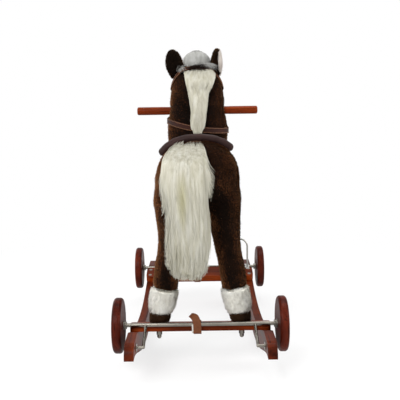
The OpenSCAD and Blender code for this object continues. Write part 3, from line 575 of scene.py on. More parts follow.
def pile(name, skin, material, slot, flow, count, length, width, lean, seed, keep=None):
    """Short fur on a skin: one blade to each point, leaning along the flow, shaded as the skin under it."""
    rng = np.random.default_rng(seed)
    verts, tris, normals = arrays(skin.data)
    corners = verts[tris]
    area = np.linalg.norm(np.cross(corners[:, 1] - corners[:, 0], corners[:, 2] - corners[:, 0]), axis=1)
    if keep is not None:
        area = area * keep(corners.mean(axis=1), unit(normals[tris].mean(axis=1)))
    pick = rng.choice(len(tris), count, p=area / area.sum())
    a, b = rng.random((2, count))
    over = a + b > 1
    a[over], b[over] = 1 - a[over], 1 - b[over]
    share = np.stack([1 - a - b, a, b], axis=1)[:, :, None]
    at = (corners[pick] * share).sum(axis=1)
    up = unit((normals[tris][pick] * share).sum(axis=1))
    drift = np.asarray(flow) + 0.5 * np.stack([lumps(at, 0.05, seed + k) for k in (1, 2, 3)], axis=1)
    along = unit(drift - (drift * up).sum(axis=1, keepdims=True) * up)
    way = unit(up * (1 - lean) + along * lean + rng.normal(size=(count, 3)) * 0.2)
    side = unit(np.cross(way, up + rng.normal(size=(count, 3)) * 0.3))
    tall = length * rng.uniform(0.6, 1.15, count) * (1 + 0.18 * lumps(at, 0.03, seed + 9))
    half = side * width / 2
    tip = at + way * tall[:, None]
    mid = at + way * (tall * 0.5)[:, None] + up * (tall * 0.08)[:, None]
    points = np.stack([at - half, at + half, mid + half * 0.6, tip], axis=1).reshape(-1, 3)
    index = np.arange(count)[:, None] * 4
    faces = np.concatenate([index + [0, 1, 2], index + [0, 2, 3]], axis=0)
    soft = unit(up * 0.55 + way * 0.27 + rng.normal(size=(count, 3)) * 0.12)
    settle(triangles(name, points, faces, material, np.repeat(soft, 4, axis=0)))


def ribbons(name, paths, out, rng, widths, material, soft=0.75, slot="white_fur"):
    """Long hairs: flat strips along paths of points that face out from the tuft, narrow at both ends."""
    n, k, _ = paths.shape
    root = rng.uniform(widths[0], widths[1], n)[:, None]
    along = np.linspace(0, 1, k)
    wide = along ** 1.4
    half = (root * (1 - wide) + widths[2] * wide) / 2 * np.minimum(1.0, 0.25 + 6 * along)
    side = unit(np.cross(unit(np.gradient(paths, axis=1)), out)) * half[:, :, None]
    points = np.stack([paths - side, paths + side], axis=2).reshape(-1, 3)
    base = (np.arange(n)[:, None] * k + np.arange(k - 1)[None, :]).ravel()[:, None] * 2
    faces = np.concatenate([base + [0, 1, 3], base + [0, 3, 2]], axis=0)
    tilt = np.random.default_rng(n).normal(size=(n, 1, 3)) * (1 - soft)
    shade = np.repeat(unit(out + tilt)[:, :, None, :], 2, axis=2).reshape(-1, 3)
    settle(triangles(name, points, faces, material, shade))


def tube_faces(rings, sides, base=0):
    """Faces between rings of points that follow one another, then a face on each end."""
    faces = []
    for k in range(rings - 1):
        for q in range(sides):
            a, b = base + k * sides + q, base + k * sides + (q + 1) % sides
            faces.append((a, b, b + sides, a + sides))
    faces.append(tuple(base + q for q in range(sides - 1, -1, -1)))
    faces.append(tuple(base + (rings - 1) * sides + q for q in range(sides)))
    return faces


def round_angles(sides):
    return [2 * math.pi * q / sides for q in range(sides)]


STITCH_SIDES = 6
STITCH_RINGS = ((-0.5, 0.45), (-0.3, 1.0), (0.3, 1.0), (0.5, 0.45))


def stitches(name, places, ways, ups, length, thick, material):
    """A row of short thread stitches."""
    verts, faces = [], []
    for at, way, up in zip(places, ways, ups):
        way, up = unit(way), unit(up)
        across = np.cross(way, up)
        faces += tube_faces(len(STITCH_RINGS), STITCH_SIDES, len(verts))
        for s, r in STITCH_RINGS:
            for t in round_angles(STITCH_SIDES):
                out = (across * math.cos(t) + up * math.sin(t)) * thick / 2 * r
                verts.append(at + way * s * length + out)
    return smooth_mesh(name, verts, faces, material)


# Forms in millimetres, from the torso's middle. The torso, neck and head are those of the frame.
# Rows of the torso: share of half its length, of its width and of its height, and the rise of its middle
TORSO = np.array([
    [1.00, 0.20, 0.24, 8], [0.97, 0.50, 0.55, 8], [0.88, 0.76, 0.84, 7], [0.72, 0.89, 0.97, 3],
    [0.48, 0.93, 1.00, -2], [0.22, 0.90, 0.97, -5], [-0.02, 0.895, 0.96, -5], [-0.26, 0.95, 0.98, -2],
    [-0.48, 1.00, 1.00, 4], [-0.68, 0.98, 1.00, 9], [-0.82, 0.88, 0.91, 11], [-0.92, 0.69, 0.72, 12],
    [-0.98, 0.42, 0.45, 12], [-1.00, 0.18, 0.20, 12],
])
# Rows of the neck: height, place along the horse, half width and half depth
NECK = np.array([
    [40, 146, 74, 56], [70, 150, 77, 62], [92, 154, 77, 62], [114, 160, 76, 60], [150, 172, 73, 56],
    [185, 182, 70, 53], [215, 191, 66, 50], [240, 198, 56, 44], [256, 203, 38, 31], [263, 205, 15, 13],
], float)
# Rows of the head: distance from the muzzle, half width and half height
HEAD = np.array([
    [0, 14, 13], [5, 27, 24], [16, 37, 32], [34, 42, 37], [58, 42, 40], [88, 48, 46], [118, 57, 54],
    [145, 61, 58], [168, 57, 53], [184, 42, 40], [192, 18, 17],
], float)
# Rows of the tail's and the mane's hair: height, place across and along the horse, half width and half depth
TAIL = np.array([
    [88, -19, -136, 20, 8], [86, -19, -157, 26, 11], [82, -20, -176, 31, 15], [75, -22, -193, 36, 20],
    [66, -24, -212, 40, 26], [56, -26, -228, 43, 28], [40, -27, -240, 44, 26], [10, -27, -248, 44, 23],
    [-30, -22, -251, 39, 22], [-70, -19, -252, 39, 21], [-110, -19, -250, 39, 19], [-150, -20, -247, 33, 16],
    [-168, -20, -245, 28, 12], [-178, -20, -242, 23, 8],
], float)
MANE = np.array([
    [268, 3, 184, 18, 12], [260, 6, 174, 28, 20], [242, 8, 155, 32, 21], [215, 7, 138, 28, 19],
    [185, 6, 124, 21, 17], [150, 4, 110, 18, 15], [120, 1, 97, 17, 14], [106, 0, 92, 15, 11],
    [98, 0, 88, 10, 7],
], float)
# The torso's length, width and height, and the height of its middle above the floor
BODY_LEN, BODY_W, BODY_H, BODY_Z = 428.0, 176.0, 158.0, 367.0
TORSO_SQUARE, NECK_SQUARE, HEAD_SQUARE = 2.35, 2.15, 2.2
HEAD_SLOPE = math.radians(34)
MUZZLE = np.array([0.0, 346.0, BODY_Z + 127.0])


def row_at(table, k):
    """Rows of a table at fractional places, on a smooth curve through them."""
    k = np.atleast_1d(np.asarray(k, float))
    last = len(table) - 1
    i = np.clip(np.floor(k).astype(int), 0, last - 1)
    f = (k - i)[:, None]
    a, b, c, d = table[np.maximum(i - 1, 0)], table[i], table[i + 1], table[np.minimum(i + 2, last)]
    square, cube = 2 * a - 5 * b + 4 * c - d, 3 * b - a - 3 * c + d
    return 0.5 * (2 * b + (c - a) * f + square * f ** 2 + cube * f ** 3)


def rows_by(table, value):
    """Rows of a table where its first column has the given values."""
    column = table[:, 0]
    order = 1 if column[-1] > column[0] else -1
    return row_at(table, np.interp(order * np.asarray(value, float), order * column, np.arange(len(column))))


def oval(degrees, square):
    """Cosine and sine of an oval that is squarer than an ellipse."""
    t = math.radians(degrees)
    c, s = np.cos(t), np.sin(t)
    return np.sign(c) * np.abs(c) ** (2 / square), np.sign(s) * np.abs(s) ** (2 / square)


def torso_point(y, degrees, grow=0.0):
    r = rows_by(TORSO, y / (BODY_LEN / 2))[0]
    c, s = oval(degrees, TORSO_SQUARE)
    return np.array([(r[1] * BODY_W / 2 + grow) * c, y, BODY_Z + r[3] + (r[2] * BODY_H / 2 + grow) * s])


def neck_point(up, degrees, grow=0.0):
    r = rows_by(NECK, up)[0]
    c, s = oval(degrees, NECK_SQUARE)
    return np.array([(r[2] + grow) * c, r[1] + (r[3] + grow) * s, BODY_Z + up])


def head_point(along, degrees, grow=0.0):
    r = rows_by(HEAD, along)[0]
    c, s = oval(degrees, HEAD_SQUARE)
    back = np.array([0, -math.cos(HEAD_SLOPE), math.sin(HEAD_SLOPE)])
    up = np.array([0, math.sin(HEAD_SLOPE), math.cos(HEAD_SLOPE)])
    return MUZZLE + back * along + np.array([1.0, 0, 0]) * (r[1] + grow) * c + up * (r[2] + grow) * s


# Plush, in metres

LEGS = [f"{end}_{side}" for end in ("hind", "fore") for side in SIDES]
HIP_AT, HIP_SPREAD, HIP_IN = np.array([-0.13, 0.335]), 0.062, 0.06
HIP_LEFT, HIP_RIGHT = 0.0085, 0.0025
SOCK_TOP_Z, SEAM_DROP, SEAM_REACH = 0.165, 0.0095, 0.03
PILE_LOW_Z = SOCK_TOP_Z - SEAM_DROP - 0.01
MIDDLE_Y = 0.02
# Skins: voxel, rounds of smoothing, sink below the frame's surface and unevenness
BODY_SKIN, SOCK_SKIN = (0.005, 9, 0.0026, 0.0012), (0.003, 6, 0.0022, 0.001)
HOOF_SKIN, EAR_SKIN = (0.0022, 4, 0.0008, 0.0006), (0.0022, 5, 0.0012, 0.0006)
TUFT_CORE, FORELOCK_CORE = (0.003, 6, 0.009, 0.0015), (0.003, 6, 0.003, 0.001)
SEAT_SKIN = (0.0042, 3, 0.0008, 0.0)
# Fur: number of blades, length, width, lean and, but for the body, seed
BODY_FUR = (95000, 0.0044, 0.0011, 0.74)
SOCK_FUR, HOOF_FUR = (15000, 0.0062, 0.0011, 0.55, 21), (7000, 0.0034, 0.0009, 0.6, 31)
EAR_FUR, LINING_FUR = (9000, 0.0044, 0.0009, 0.6, 41), (7000, 0.0036, 0.0009, 0.5, 42)


def fuller_hips(mesh):
    """Swells the stuffing over the hips, more on the left."""
    verts, _, _ = arrays(mesh)
    near = np.exp(-(((verts[:, 1:] - HIP_AT) / HIP_SPREAD) ** 2).sum(axis=1))
    outward = np.clip(np.abs(verts[:, 0]) / HIP_IN, 0, 1) ** 2
    verts[:, 0] += near * outward * np.where(verts[:, 0] < 0, -HIP_LEFT, HIP_RIGHT)
    move_points(mesh, verts)


def lower_seam(mesh):
    """Draws the plush about the tops of the socks down a little, with no effect further away."""
    verts, _, _ = arrays(mesh)
    verts[:, 2] -= SEAM_DROP * np.exp(-((verts[:, 2] - SOCK_TOP_Z) / SEAM_REACH) ** 2)
    move_points(mesh, verts)


def hind(at, _):
    return (at[:, 2] > PILE_LOW_Z) & (at[:, 1] < MIDDLE_Y)


def fore(at, _):
    return (at[:, 2] > PILE_LOW_Z) & (at[:, 1] >= MIDDLE_Y)


def off_the_sole(_, up):
    return up[:, 2] > -0.6


skin_nodes = ["torso", "neck", "head"] + [leg + "_leg" for leg in LEGS]
inner_nodes = ["leg_posts", "spine_board", "neck_post"]
plush_skin = soft_skin("plush_skin", skin_nodes + inner_nodes, BROWN_SKIN, *BODY_SKIN)
fuller_hips(plush_skin.data)
lower_seam(plush_skin.data)
settle(plush_skin, skin_nodes)
for end, seed, keep in (("hind", 11, hind), ("fore", 12, fore)):
    pile("plush_pile_" + end, plush_skin, BROWN_PILE, "brown_plush", DOWN_AND_BACK, *BODY_FUR, seed, keep)

for leg in LEGS:
    sock = soft_skin(leg + "_sock_plush", [leg + "_sock"], WHITE_PILE, *SOCK_SKIN)
    lower_seam(sock.data)
    settle(sock, [leg + "_sock"])
    pile(leg + "_sock_pile", sock, WHITE_PILE, "white_fur", DOWN, *SOCK_FUR)
    hoof = soft_skin(leg + "_hoof_plush", [leg + "_hoof"], HOOF_PILE, *HOOF_SKIN)
    settle(hoof, [leg + "_hoof"])
    pile(leg + "_hoof_pile", hoof, HOOF_PILE, "brown_plush", DOWN, *HOOF_FUR, off_the_sole)


# Ears: brown backs and white linings

# Each ear: its turn in degrees and the place of its fold, if it has one
EARS = {"left_ear": (-6.0, None), "right_ear": (-56.0, 0.015)}


def ear_lining(ear, turn, fold):
    """A test for the lined part of an ear: its front and, at a fold, a strip round its right edge."""
    t = math.radians(turn)
    ahead, aside = np.array([-math.sin(t), math.cos(t), 0.0]), np.array([math.cos(t), math.sin(t), 0.0])
    middle = np.mean([np.array(corner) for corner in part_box(ear)], axis=0)

    def lined(at, up):
        inside = up @ ahead > 0.1
        return inside if fold is None else inside | ((at - middle) @ aside > fold)

    return lined


for ear, (turn, fold) in EARS.items():
    lined = ear_lining(ear, turn, fold)
    skin = soft_skin(ear + "_plush", [ear], BROWN_SKIN, *EAR_SKIN)
    skin.data.materials.append(EAR_LINING)
    for p in skin.data.polygons:
        p.material_index = int(lined(np.array(p.center), np.array(p.normal)))
    settle(skin, [ear])
    pile(ear + "_pile", skin, BROWN_PILE, "brown_plush", UP, *EAR_FUR,
         keep=lambda at, up, test=lined: ~test(at, up))
    pile(ear + "_lining", skin, EAR_LINING, "white_fur", UP, *LINING_FUR, lined)


# Long hair

HAIR_LEAN = np.array([0.0, -0.7, 0.35])
NEAR_LOCKS = 90
# Widths of hairs in metres: the least and the greatest at the root, and the tip
UNDER_WIDTHS, LOCK_WIDTHS = (0.0009, 0.0016, 0.0003), (0.0008, 0.0014, 0.0002)
FORELOCK_WIDTHS, WISP_WIDTHS = (0.0009, 0.0014, 0.0003), (0.0007, 0.0012, 0.0002)


def rows_on(table, up):
    return rows_by(table, up.ravel()).reshape(*up.shape, -1)


def on_tuft(row, up, angle, out):
    """Points round the rows of a tuft, and the ways that they face."""
    c, s = np.cos(angle), np.sin(angle)
    x = row[:, :, 1] + row[:, :, 3] * out * c
    y = row[:, :, 2] + row[:, :, 4] * out * s
    facing = unit(np.stack([c / row[:, :, 3], s / row[:, :, 4], np.zeros_like(c)], axis=2))
    return np.stack([x, y, BODY_Z + up], axis=2) * MM, facing


def under_paths(table, points, count, seed, heights, reach, spans, wave, lock_pull, lift):
    """Hairs that run down a tuft given by rows of height, place, half width and half depth."""
    rng = np.random.default_rng(seed)
    turn = np.radians(rng.uniform(spans[0], spans[1], count))
    start = heights[0] - (heights[0] - heights[1]) * rng.beta(1.0, 1.5, count)
    length = rng.uniform(*reach, count)
    end = table[-1][0] - 4 + rng.exponential(9.0, count)
    locks = rng.integers(0, NEAR_LOCKS, count)
    lock_turn = np.radians(rng.uniform(spans[0], spans[1], NEAR_LOCKS))
    nearest = np.argsort(np.abs(lock_turn[None, :] - turn[:, None]), axis=1)
    aim = lock_turn[nearest[np.arange(count), locks % 3]]
    t = np.linspace(0, 1, points)[None, :]
    up = start[:, None] - length[:, None] * t
    up = np.maximum(up, end[:, None] + (up - end[:, None]) * 0.04)
    angle = turn[:, None] + (aim - turn)[:, None] * lock_pull * t ** 1.6
    phase = rng.uniform(0, 6.28, (count, 1))
    angle = angle + wave * np.sin(t * rng.uniform(3, 7, (count, 1)) + phase) * t
    out = 0.9 + rng.uniform(0, 0.1, (count, 1)) + rng.uniform(0.0, lift, (count, 1)) * t ** 1.5
    paths, facing = on_tuft(rows_on(table, up), up, angle, out)
    return paths, unit(facing + HAIR_LEAN), rng


def lock_paths(table, points, locks, hairs, seed, heights, reach, spans, wide, lift, sway, puff=0.0):
    """Hairs in pointed locks: each lock starts wide, narrows to its tip and lifts a little off the tuft."""
    rng = np.random.default_rng(seed)
    k = np.arange(locks)
    turn = np.radians(spans[0] + (spans[1] - spans[0]) * ((k * 0.6180339 + 0.3) % 1.0))
    start = heights[0] - (heights[0] - heights[1]) * ((k + rng.uniform(0, 1, locks)) / locks) ** 0.85
    length = rng.uniform(*reach, locks)
    tip_turn = turn + rng.normal(0, sway, locks)
    tip_out = 1.0 + rng.uniform(0.2, 1.0, locks) * lift
    bend = rng.normal(0, 0.10, locks)
    owner = np.repeat(k, hairs)
    count = locks * hairs
    t = np.linspace(0, 1, points)[None, :]
    up = (start[owner] - rng.uniform(0, 16, count))[:, None]
    up = up - (length[owner] * rng.uniform(0.72, 1.04, count))[:, None] * t
    end = table[-1][0] - 4 + rng.exponential(14.0, locks)[owner] + rng.exponential(8.0, count)
    up = np.maximum(up, end[:, None] + (up - end[:, None]) * 0.05)
    row = rows_on(table, up)
    aside = rng.normal(0, wide, count)[:, None] * (1 - 0.86 * t ** 1.2) / np.maximum(row[:, :, 3], 12.0)
    angle = turn[owner][:, None] + (tip_turn - turn)[owner][:, None] * t ** 1.5 + aside
    angle = angle + bend[owner][:, None] * np.sin(t * math.pi) + rng.normal(0, 0.012, (count, 1)) * t
    out = 0.93 + rng.uniform(0, 0.08, (count, 1)) + (tip_out - 1)[owner][:, None] * t ** 2.2
    out = out + puff * np.sin(np.minimum(1, t * 1.15) * math.pi) - 0.1 * np.exp(-12 * t)
    paths, facing = on_tuft(row, up, angle, out)
    round_lock = np.clip(aside * row[:, :, 3] / (2 * wide), -0.8, 0.8)
    across = np.stack([-np.sin(angle), np.cos(angle) * 0.6, np.zeros_like(angle)], axis=2)
    return paths, unit(facing + across * round_lock[:, :, None] * 0.35 + HAIR_LEAN), rng


def flatten_above(mesh, level):
    """Presses what lies above a height down to it, so that the hair covers it."""
    verts, _, _ = arrays(mesh)
    verts[:, 2] = np.where(verts[:, 2] > level, level + (verts[:, 2] - level) * 0.15, verts[:, 2])
    move_points(mesh, verts)


def tuft(name, table, points, core_top, under, locks):
    """A padded core, pressed down above a height, with under hair and sets of locks over it."""
    core = soft_skin(name + "_core", [name], HAIR_CORE, *TUFT_CORE)
    flatten_above(core.data, (BODY_Z + core_top) * MM)
    settle(core, [name])
    ribbons(name + "_under_0", *under_paths(table, points, *under), UNDER_WIDTHS, UNDER_HAIR)
    for k, values in enumerate(locks):
        ribbons(f"{name}_locks_{k}", *lock_paths(table, points, *values), LOCK_WIDTHS, WHITE_HAIR, 0.94)


# Sets of locks: number, hairs in each, seed, heights, reach, spans in degrees, width, lift, sway and puff
# The tail has locks all over and at its root, wisps at the right, feathers at the left, lower left and bottom
TAIL_LOCKS = [
    (150, 40, 52, (88, -105), (85, 150), (-196, 16), 4.2, 0.10, 0.10),
    (46, 36, 57, (88, 80), (70, 125), (-192, 12), 3.4, 0.04, 0.08),
    (9, 26, 53, (78, 52), (44, 70), (-34, -2), 2.6, 0.36, 0.05),
    (40, 16, 54, (66, -118), (52, 92), (-188, -146), 2.0, 0.36, 0.05),
    (30, 14, 55, (-62, -140), (44, 80), (-200, -128), 2.4, 0.55, 0.10),
    (24, 14, 56, (-70, -136), (44, 84), (-130, 4), 2.6, 0.40, 0.12),
]
# The mane has locks all over and at its top
MANE_LOCKS = [
    (96, 32, 62, (249, 124), (56, 100), (-188, 8), 3.2, 0.14, 0.10),
    (34, 30, 63, (255, 248), (34, 62), (-172, -8), 3.4, 0.05, 0.10, 0.24),
]
# Under hair: number, seed, heights, reach, spans in degrees, wave, pull to the nearest locks and lift
TAIL_UNDER = (2600, 51, (84, -120), (90, 170), (-205, 25), 0.08, 0.75, 0.02)
MANE_UNDER = (1500, 61, (246, 120), (60, 110), (-195, 15), 0.10, 0.6, 0.04)
tuft("tail", TAIL, 9, 62.0, TAIL_UNDER, TAIL_LOCKS)
tuft("mane", MANE, 8, 246.0, MANE_UNDER, MANE_LOCKS)


# Forelock

LOCK_AT = (0.0, 214.0, BODY_Z + 238.0)
LOCK_R = (42.0, 31.0, 66.0)


def forelock_hair():
    """Short hairs that lie over the dome of the poll from behind to the forehead."""
    rng = np.random.default_rng(71)
    count, points = 5200, 6
    across = np.sin(rng.uniform(-1.45, 1.45, count))[:, None]
    start = rng.uniform(-0.1, 0.95, count) * math.pi
    reach = rng.uniform(0.08, 0.17, count) * math.pi
    t = np.linspace(0, 1, points)[None, :]
    angle = start[:, None] + reach[:, None] * t
    slim = np.sqrt(1 - across ** 2)
    out = 0.95 + rng.uniform(0, 0.03, (count, 1)) + rng.uniform(0, 0.02, (count, 1)) * t
    x = LOCK_AT[0] + LOCK_R[0] * (across * out + 0.03 * np.sin(t * 4 + rng.uniform(0, 6, (count, 1))) * t)
    y = LOCK_AT[1] - LOCK_R[1] * slim * np.cos(angle) * out
    z = LOCK_AT[2] + LOCK_R[2] * slim * np.sin(angle) * out
    facing = unit(np.stack([np.repeat(across, points, 1) / LOCK_R[0], -slim * np.cos(angle) / LOCK_R[1],
                            slim * np.sin(angle) / LOCK_R[2]], axis=2))
    paths = np.stack([x, y, z], axis=2) * MM
    ribbons("forelock_hair", paths, facing, rng, FORELOCK_WIDTHS, LOCK_HAIR)


def wisps(name, material, slot, locks, hairs, seed, spans, heights, reach, fall):
    """Small loose locks that fan out from the foot of the forelock."""
    rng = np.random.default_rng(seed)
    points, count = 7, locks * hairs
    owner = np.repeat(np.arange(locks), hairs)
    t = np.linspace(0, 1, points)[None, :]
    turn = np.radians(rng.uniform(*spans, locks))[owner] + rng.normal(0, 0.07, count)
    tip_turn = turn + rng.normal(0, 0.14, locks)[owner]
    angle = turn[:, None] + (tip_turn - turn)[:, None] * t ** 1.4
    far = (rng.uniform(*reach, locks)[owner] * rng.uniform(0.75, 1.05, count))[:, None]
    drop = (rng.uniform(*fall, locks)[owner] * rng.uniform(0.8, 1.1, count))[:, None]
    foot = (rng.uniform(*heights, locks)[owner] + rng.normal(0, 1.6, count))[:, None]
    out = -4 + far * np.sin(t * 1.35) / math.sin(1.35)
    x = LOCK_AT[0] + (LOCK_R[0] - 4 + out) * np.cos(angle)
    y = LOCK_AT[1] + (LOCK_R[1] - 1 + out) * np.sin(angle)
    z = BODY_Z + foot + 3 * np.sin(t * math.pi) - drop * t ** 1.7
    facing = unit(np.stack([0.5 * np.cos(angle), np.sin(angle), 0.9 + 0 * angle], axis=2))
    paths = np.stack([x, y, z], axis=2) * MM
    ribbons(name, paths, facing, rng, WISP_WIDTHS, material, 0.86, slot)


# Wisps: number, hairs in each, seed, spans in degrees, heights of the feet, reach out and fall
FORELOCK_WISPS = {
    "left": (16, 24, 72, (-176, -118), (250, 262), (14, 28), (8, 20)),
    "right": (16, 24, 73, (-62, -2), (250, 264), (14, 28), (6, 18)),
    "front": (120, 16, 77, (8, 172), (246, 280), (4, 15), (12, 58)),
    "back": (16, 22, 74, (-132, -48), (256, 264), (34, 50), (6, 14)),
}
POLL_FUZZ = {
    "poll_fuzz": (10, 44, 75, (-102, -79), (253, 261), (46, 58), (3, 9)),
    "poll_fuzz_sides": (8, 22, 76, (-130, -52), (250, 258), (42, 54), (3, 9)),
}
lock_core = soft_skin("forelock_core", ["forelock"], LOCK_HAIR, *FORELOCK_CORE)
settle(lock_core, ["forelock"])
forelock_hair()
for where, values in FORELOCK_WISPS.items():
    wisps("forelock_wisps_" + where, LOCK_HAIR, "white_fur", *values)
for fuzz, values in POLL_FUZZ.items():
    wisps(fuzz, BROWN_SKIN, "brown_plush", *values)


# Face: nostrils and a sewn mouth, in millimetres

NOSTRIL_TURNS, NOSTRIL_BACK, NOSTRIL_SIDES = (52, 128), 9, 20
NOSTRIL_W, NOSTRIL_H = 3.4, 5.6
NOSTRIL_RINGS = ((0.55, 3.0), (1.0, 1.2), (1.02, -2.0))
MOUTH_HALF, MOUTH_STEP = 11, 5.6


def make_nostrils():
    verts, faces = [], []
    n = NOSTRIL_SIDES
    for turn in NOSTRIL_TURNS:
        centre = head_point(NOSTRIL_BACK, turn, -0.5)
        ahead = unit(head_point(NOSTRIL_BACK, turn, 5) - centre)
        across = unit(np.cross(ahead, np.array([0, 0.5, 1.0])))
        rise = np.cross(across, ahead)
        base = len(verts)
        verts.append((centre + ahead * 3.2) * MM)
        for r, h in NOSTRIL_RINGS:
            for t in round_angles(n):
                oval_out = across * NOSTRIL_W * r * math.cos(t) + rise * NOSTRIL_H * r * math.sin(t)
                verts.append((centre + ahead * h + oval_out) * MM)
        for q in range(n):
            faces.append((base, base + 1 + q, base + 1 + (q + 1) % n))
            for ring in range(len(NOSTRIL_RINGS) - 1):
                a, b = base + 1 + ring * n + q, base + 1 + ring * n + (q + 1) % n
                faces.append((a, a + n, b + n, b))
    settle(smooth_mesh("nostrils", verts, faces, NOSE_FELT))


def make_mouth():
    def mouth_point(k, grow):
        return head_point(8 + 26 * abs(k) / MOUTH_HALF, -90 + k * MOUTH_STEP, grow)

    marks = range(-MOUTH_HALF, MOUTH_HALF + 1)
    places = [mouth_point(k, -1.6) for k in marks]
    ups = [mouth_point(k, 4.0) - place for k, place in zip(marks, places)]
    last = len(places) - 1
    ways = [places[min(k + 1, last)] - places[max(k - 1, 0)] for k in range(len(places))]
    sewn = stitches("mouth_stitches", [p * MM for p in places], ways, ups, 0.0062, 0.0018, DARK_THREAD)
    settle(sewn)


make_nostrils()
make_mouth()


# Leather straps, in millimetres. Looks: slot, face, edge and thread.

TACK = ("tack_leather", TACK_LEATHER, TACK_EDGE, PALE_THREAD)
AXLE_STRAP = ("strap_leather", STRAP_LEATHER, STRAP_LEATHER, None)
AXLE_STRAP_LINING = ("strap_leather", STRAP_LINING, None, None)
STRAP_SECTION = [
    (1.0, 0.0), (0.99, 0.35), (0.93, 0.5), (0.72, 0.46), (0.0, 0.42), (-0.72, 0.46), (-0.93, 0.5),
    (-0.99, 0.35), (-1.0, 0.0), (-0.98, -0.38), (-0.9, -0.5), (0.0, -0.5), (0.9, -0.5), (0.98, -0.38),
]
STRAP_RIM = (0, 1, 7, 8, 9, 13)
STITCH_FROM_END, STITCH_STEP = 3.0, 4.2
# Half width and thickness of each kind
REIN_SIZE, BRIDLE_SIZE, GIRTH_SIZE, LEATHER_SIZE = (7.0, 2.6), (6.0, 2.4), (13.0, 2.6), (7.0, 2.2)
AXLE_STRAP_SIZE, LINING_SIZE = (8.0, 2.0), (7.6, 1.2)


def run_along(points):
    """Distance of each point from the first, along the line through them."""
    return np.concatenate([[0], np.cumsum(np.linalg.norm(np.diff(points, axis=0), axis=1))])


def spread_along(values, run, marks):
    return np.stack([np.interp(marks, run, values[:, c]) for c in range(values.shape[1])], axis=1)


def strap(name, rows, half, thick, looks, count, stands_for=(), body=ROOT, inset=1.6):
    """A flat strap with raised edges along rows of places and ways out, sewn along both edges."""
    slot, face, edge, sewing = looks
    rows = np.array([np.concatenate(row) for row in rows])
    fine = row_at(rows, np.linspace(0, len(rows) - 1, 12 * len(rows)))
    run = run_along(fine[:, :3])
    both = spread_along(fine, run, np.linspace(0, run[-1], count))
    at, up = both[:, :3], unit(both[:, 3:])
    way = unit(np.gradient(at, axis=0))
    side = unit(np.cross(way, up))
    up = unit(np.cross(side, way))
    n = len(STRAP_SECTION)
    verts = [(at[k] + side[k] * u * half + up[k] * (v * thick)) * MM
             for k in range(count) for u, v in STRAP_SECTION]
    piece = smooth_mesh(name, verts, tube_faces(count, n), face)
    if edge is not None:
        piece.data.materials.append(edge)
        for k in range(count - 1):
            for q in STRAP_RIM:
                piece.data.polygons[k * n + q].material_index = 1
    settle(piece, stands_for, body=body)
    if sewing is not None:
        run = run_along(at)
        marks = np.arange(STITCH_FROM_END, run[-1] - STITCH_FROM_END, STITCH_STEP)
        middle, ways, ups = (spread_along(values, run, marks) for values in (at, way, up))
        ways, ups = unit(ways), unit(ups)
        off = unit(np.cross(ways, ups)) * (half - inset)
        high = middle + ups * (thick * 0.47)
        places = np.stack([high - off, high + off], axis=1).reshape(-1, 3) * MM
        ways, ups = np.repeat(ways, 2, axis=0), np.repeat(ups, 2, axis=0)
        sewn = stitches(name + "_stitches", places, ways, ups, 0.0029, 0.0009, sewing)
        settle(sewn, body=body)
    return piece


NOSE_S = 44.0
PRESSED = 0.4
REIN_UP, REIN_LEFT, REIN_RIGHT = 104.0, 20.0, -5.0
REIN_STEPS = 9
CHEEK_S = (48, 68, 88, 108)
# The crown strap round the neck: height, degrees, lift of its face and distance off the plush
CROWN = [
    (206, 170, 0.1, -2), (214, 186, 0.2, -2), (230, 198, 0.4, -2), (244, 214, 0.7, 0), (252, 240, 1.0, 15),
    (254, 270, 1.0, 17), (252, 300, 1.0, 15), (244, 326, 0.7, 0), (230, 342, 0.4, -2), (214, 354, 0.2, -2),
    (206, 370, 0.1, -2),
]
CHIN_SINK = 3.2


def neck_face(up, degrees, lift, off):
    t = math.radians(degrees)
    return neck_point(up, degrees, off), np.array([math.cos(t), math.sin(t), lift])


def rein_rise(degrees):
    """Rise of the reins above the back of the neck: up to the left and down to the right."""
    c = math.cos(math.radians(degrees))
    return (REIN_LEFT + REIN_RIGHT) / 2 * c * c + (REIN_RIGHT - REIN_LEFT) / 2 * c


def make_reins():
    rows = [neck_face(REIN_UP + rein_rise(d), d, 0.0, PRESSED) for d in range(180, 361, 15)]
    left, right = (head_point(NOSE_S, d, 6.0) for d in (180, 0))
    free = [(k + 1) / REIN_STEPS for k in range(REIN_STEPS)]
    rows = [(rows[0][0] + (left - rows[0][0]) * f, rows[0][1]) for f in reversed(free)] + rows
    rows += [(rows[-1][0] + (right - rows[-1][0]) * f, rows[-1][1]) for f in free]
    strap("reins_strap", rows, *REIN_SIZE, TACK, 140, ["reins"])


def nose_row(degrees):
    """A place on the noseband, which lies deeper under the chin."""
    sink = CHIN_SINK * max(0.0, -math.sin(math.radians(degrees)))
    out = head_point(NOSE_S, degrees, 5) - head_point(NOSE_S, degrees)
    return head_point(NOSE_S, degrees, PRESSED - sink), out


def make_bridle():
    rows = [(head_point(s, 170, PRESSED), np.array([-1.0, 0, 0])) for s in CHEEK_S]
    rows += [neck_face(up, degrees, lift, off + PRESSED) for up, degrees, lift, off in CROWN]
    rows += [(head_point(s, 10, PRESSED), np.array([1.0, 0, 0])) for s in reversed(CHEEK_S)]
    strap("bridle_crown", rows, *BRIDLE_SIZE, TACK, 150, ["bridle"])
    band = [nose_row(d) for d in range(-90, 271, 15)]
    strap("bridle_noseband", band, *BRIDLE_SIZE, TACK, 90, ["bridle"])


STIRRUP_Y = 15.0
FLAP_LOW, FLAP_REAR = -20.0, -20.0


def girth_row(degrees):
    out = torso_point(STIRRUP_Y, degrees, 10.0) - torso_point(STIRRUP_Y, degrees, 3.0)
    return torso_point(STIRRUP_Y, degrees, 3.6), out


def make_girth():
    rows = [girth_row(a) for a in np.linspace(FLAP_LOW - 140, FLAP_LOW, 26)]
    strap("girth_strap", rows, *GIRTH_SIZE, TACK, 90, ["girth"], inset=2.4)


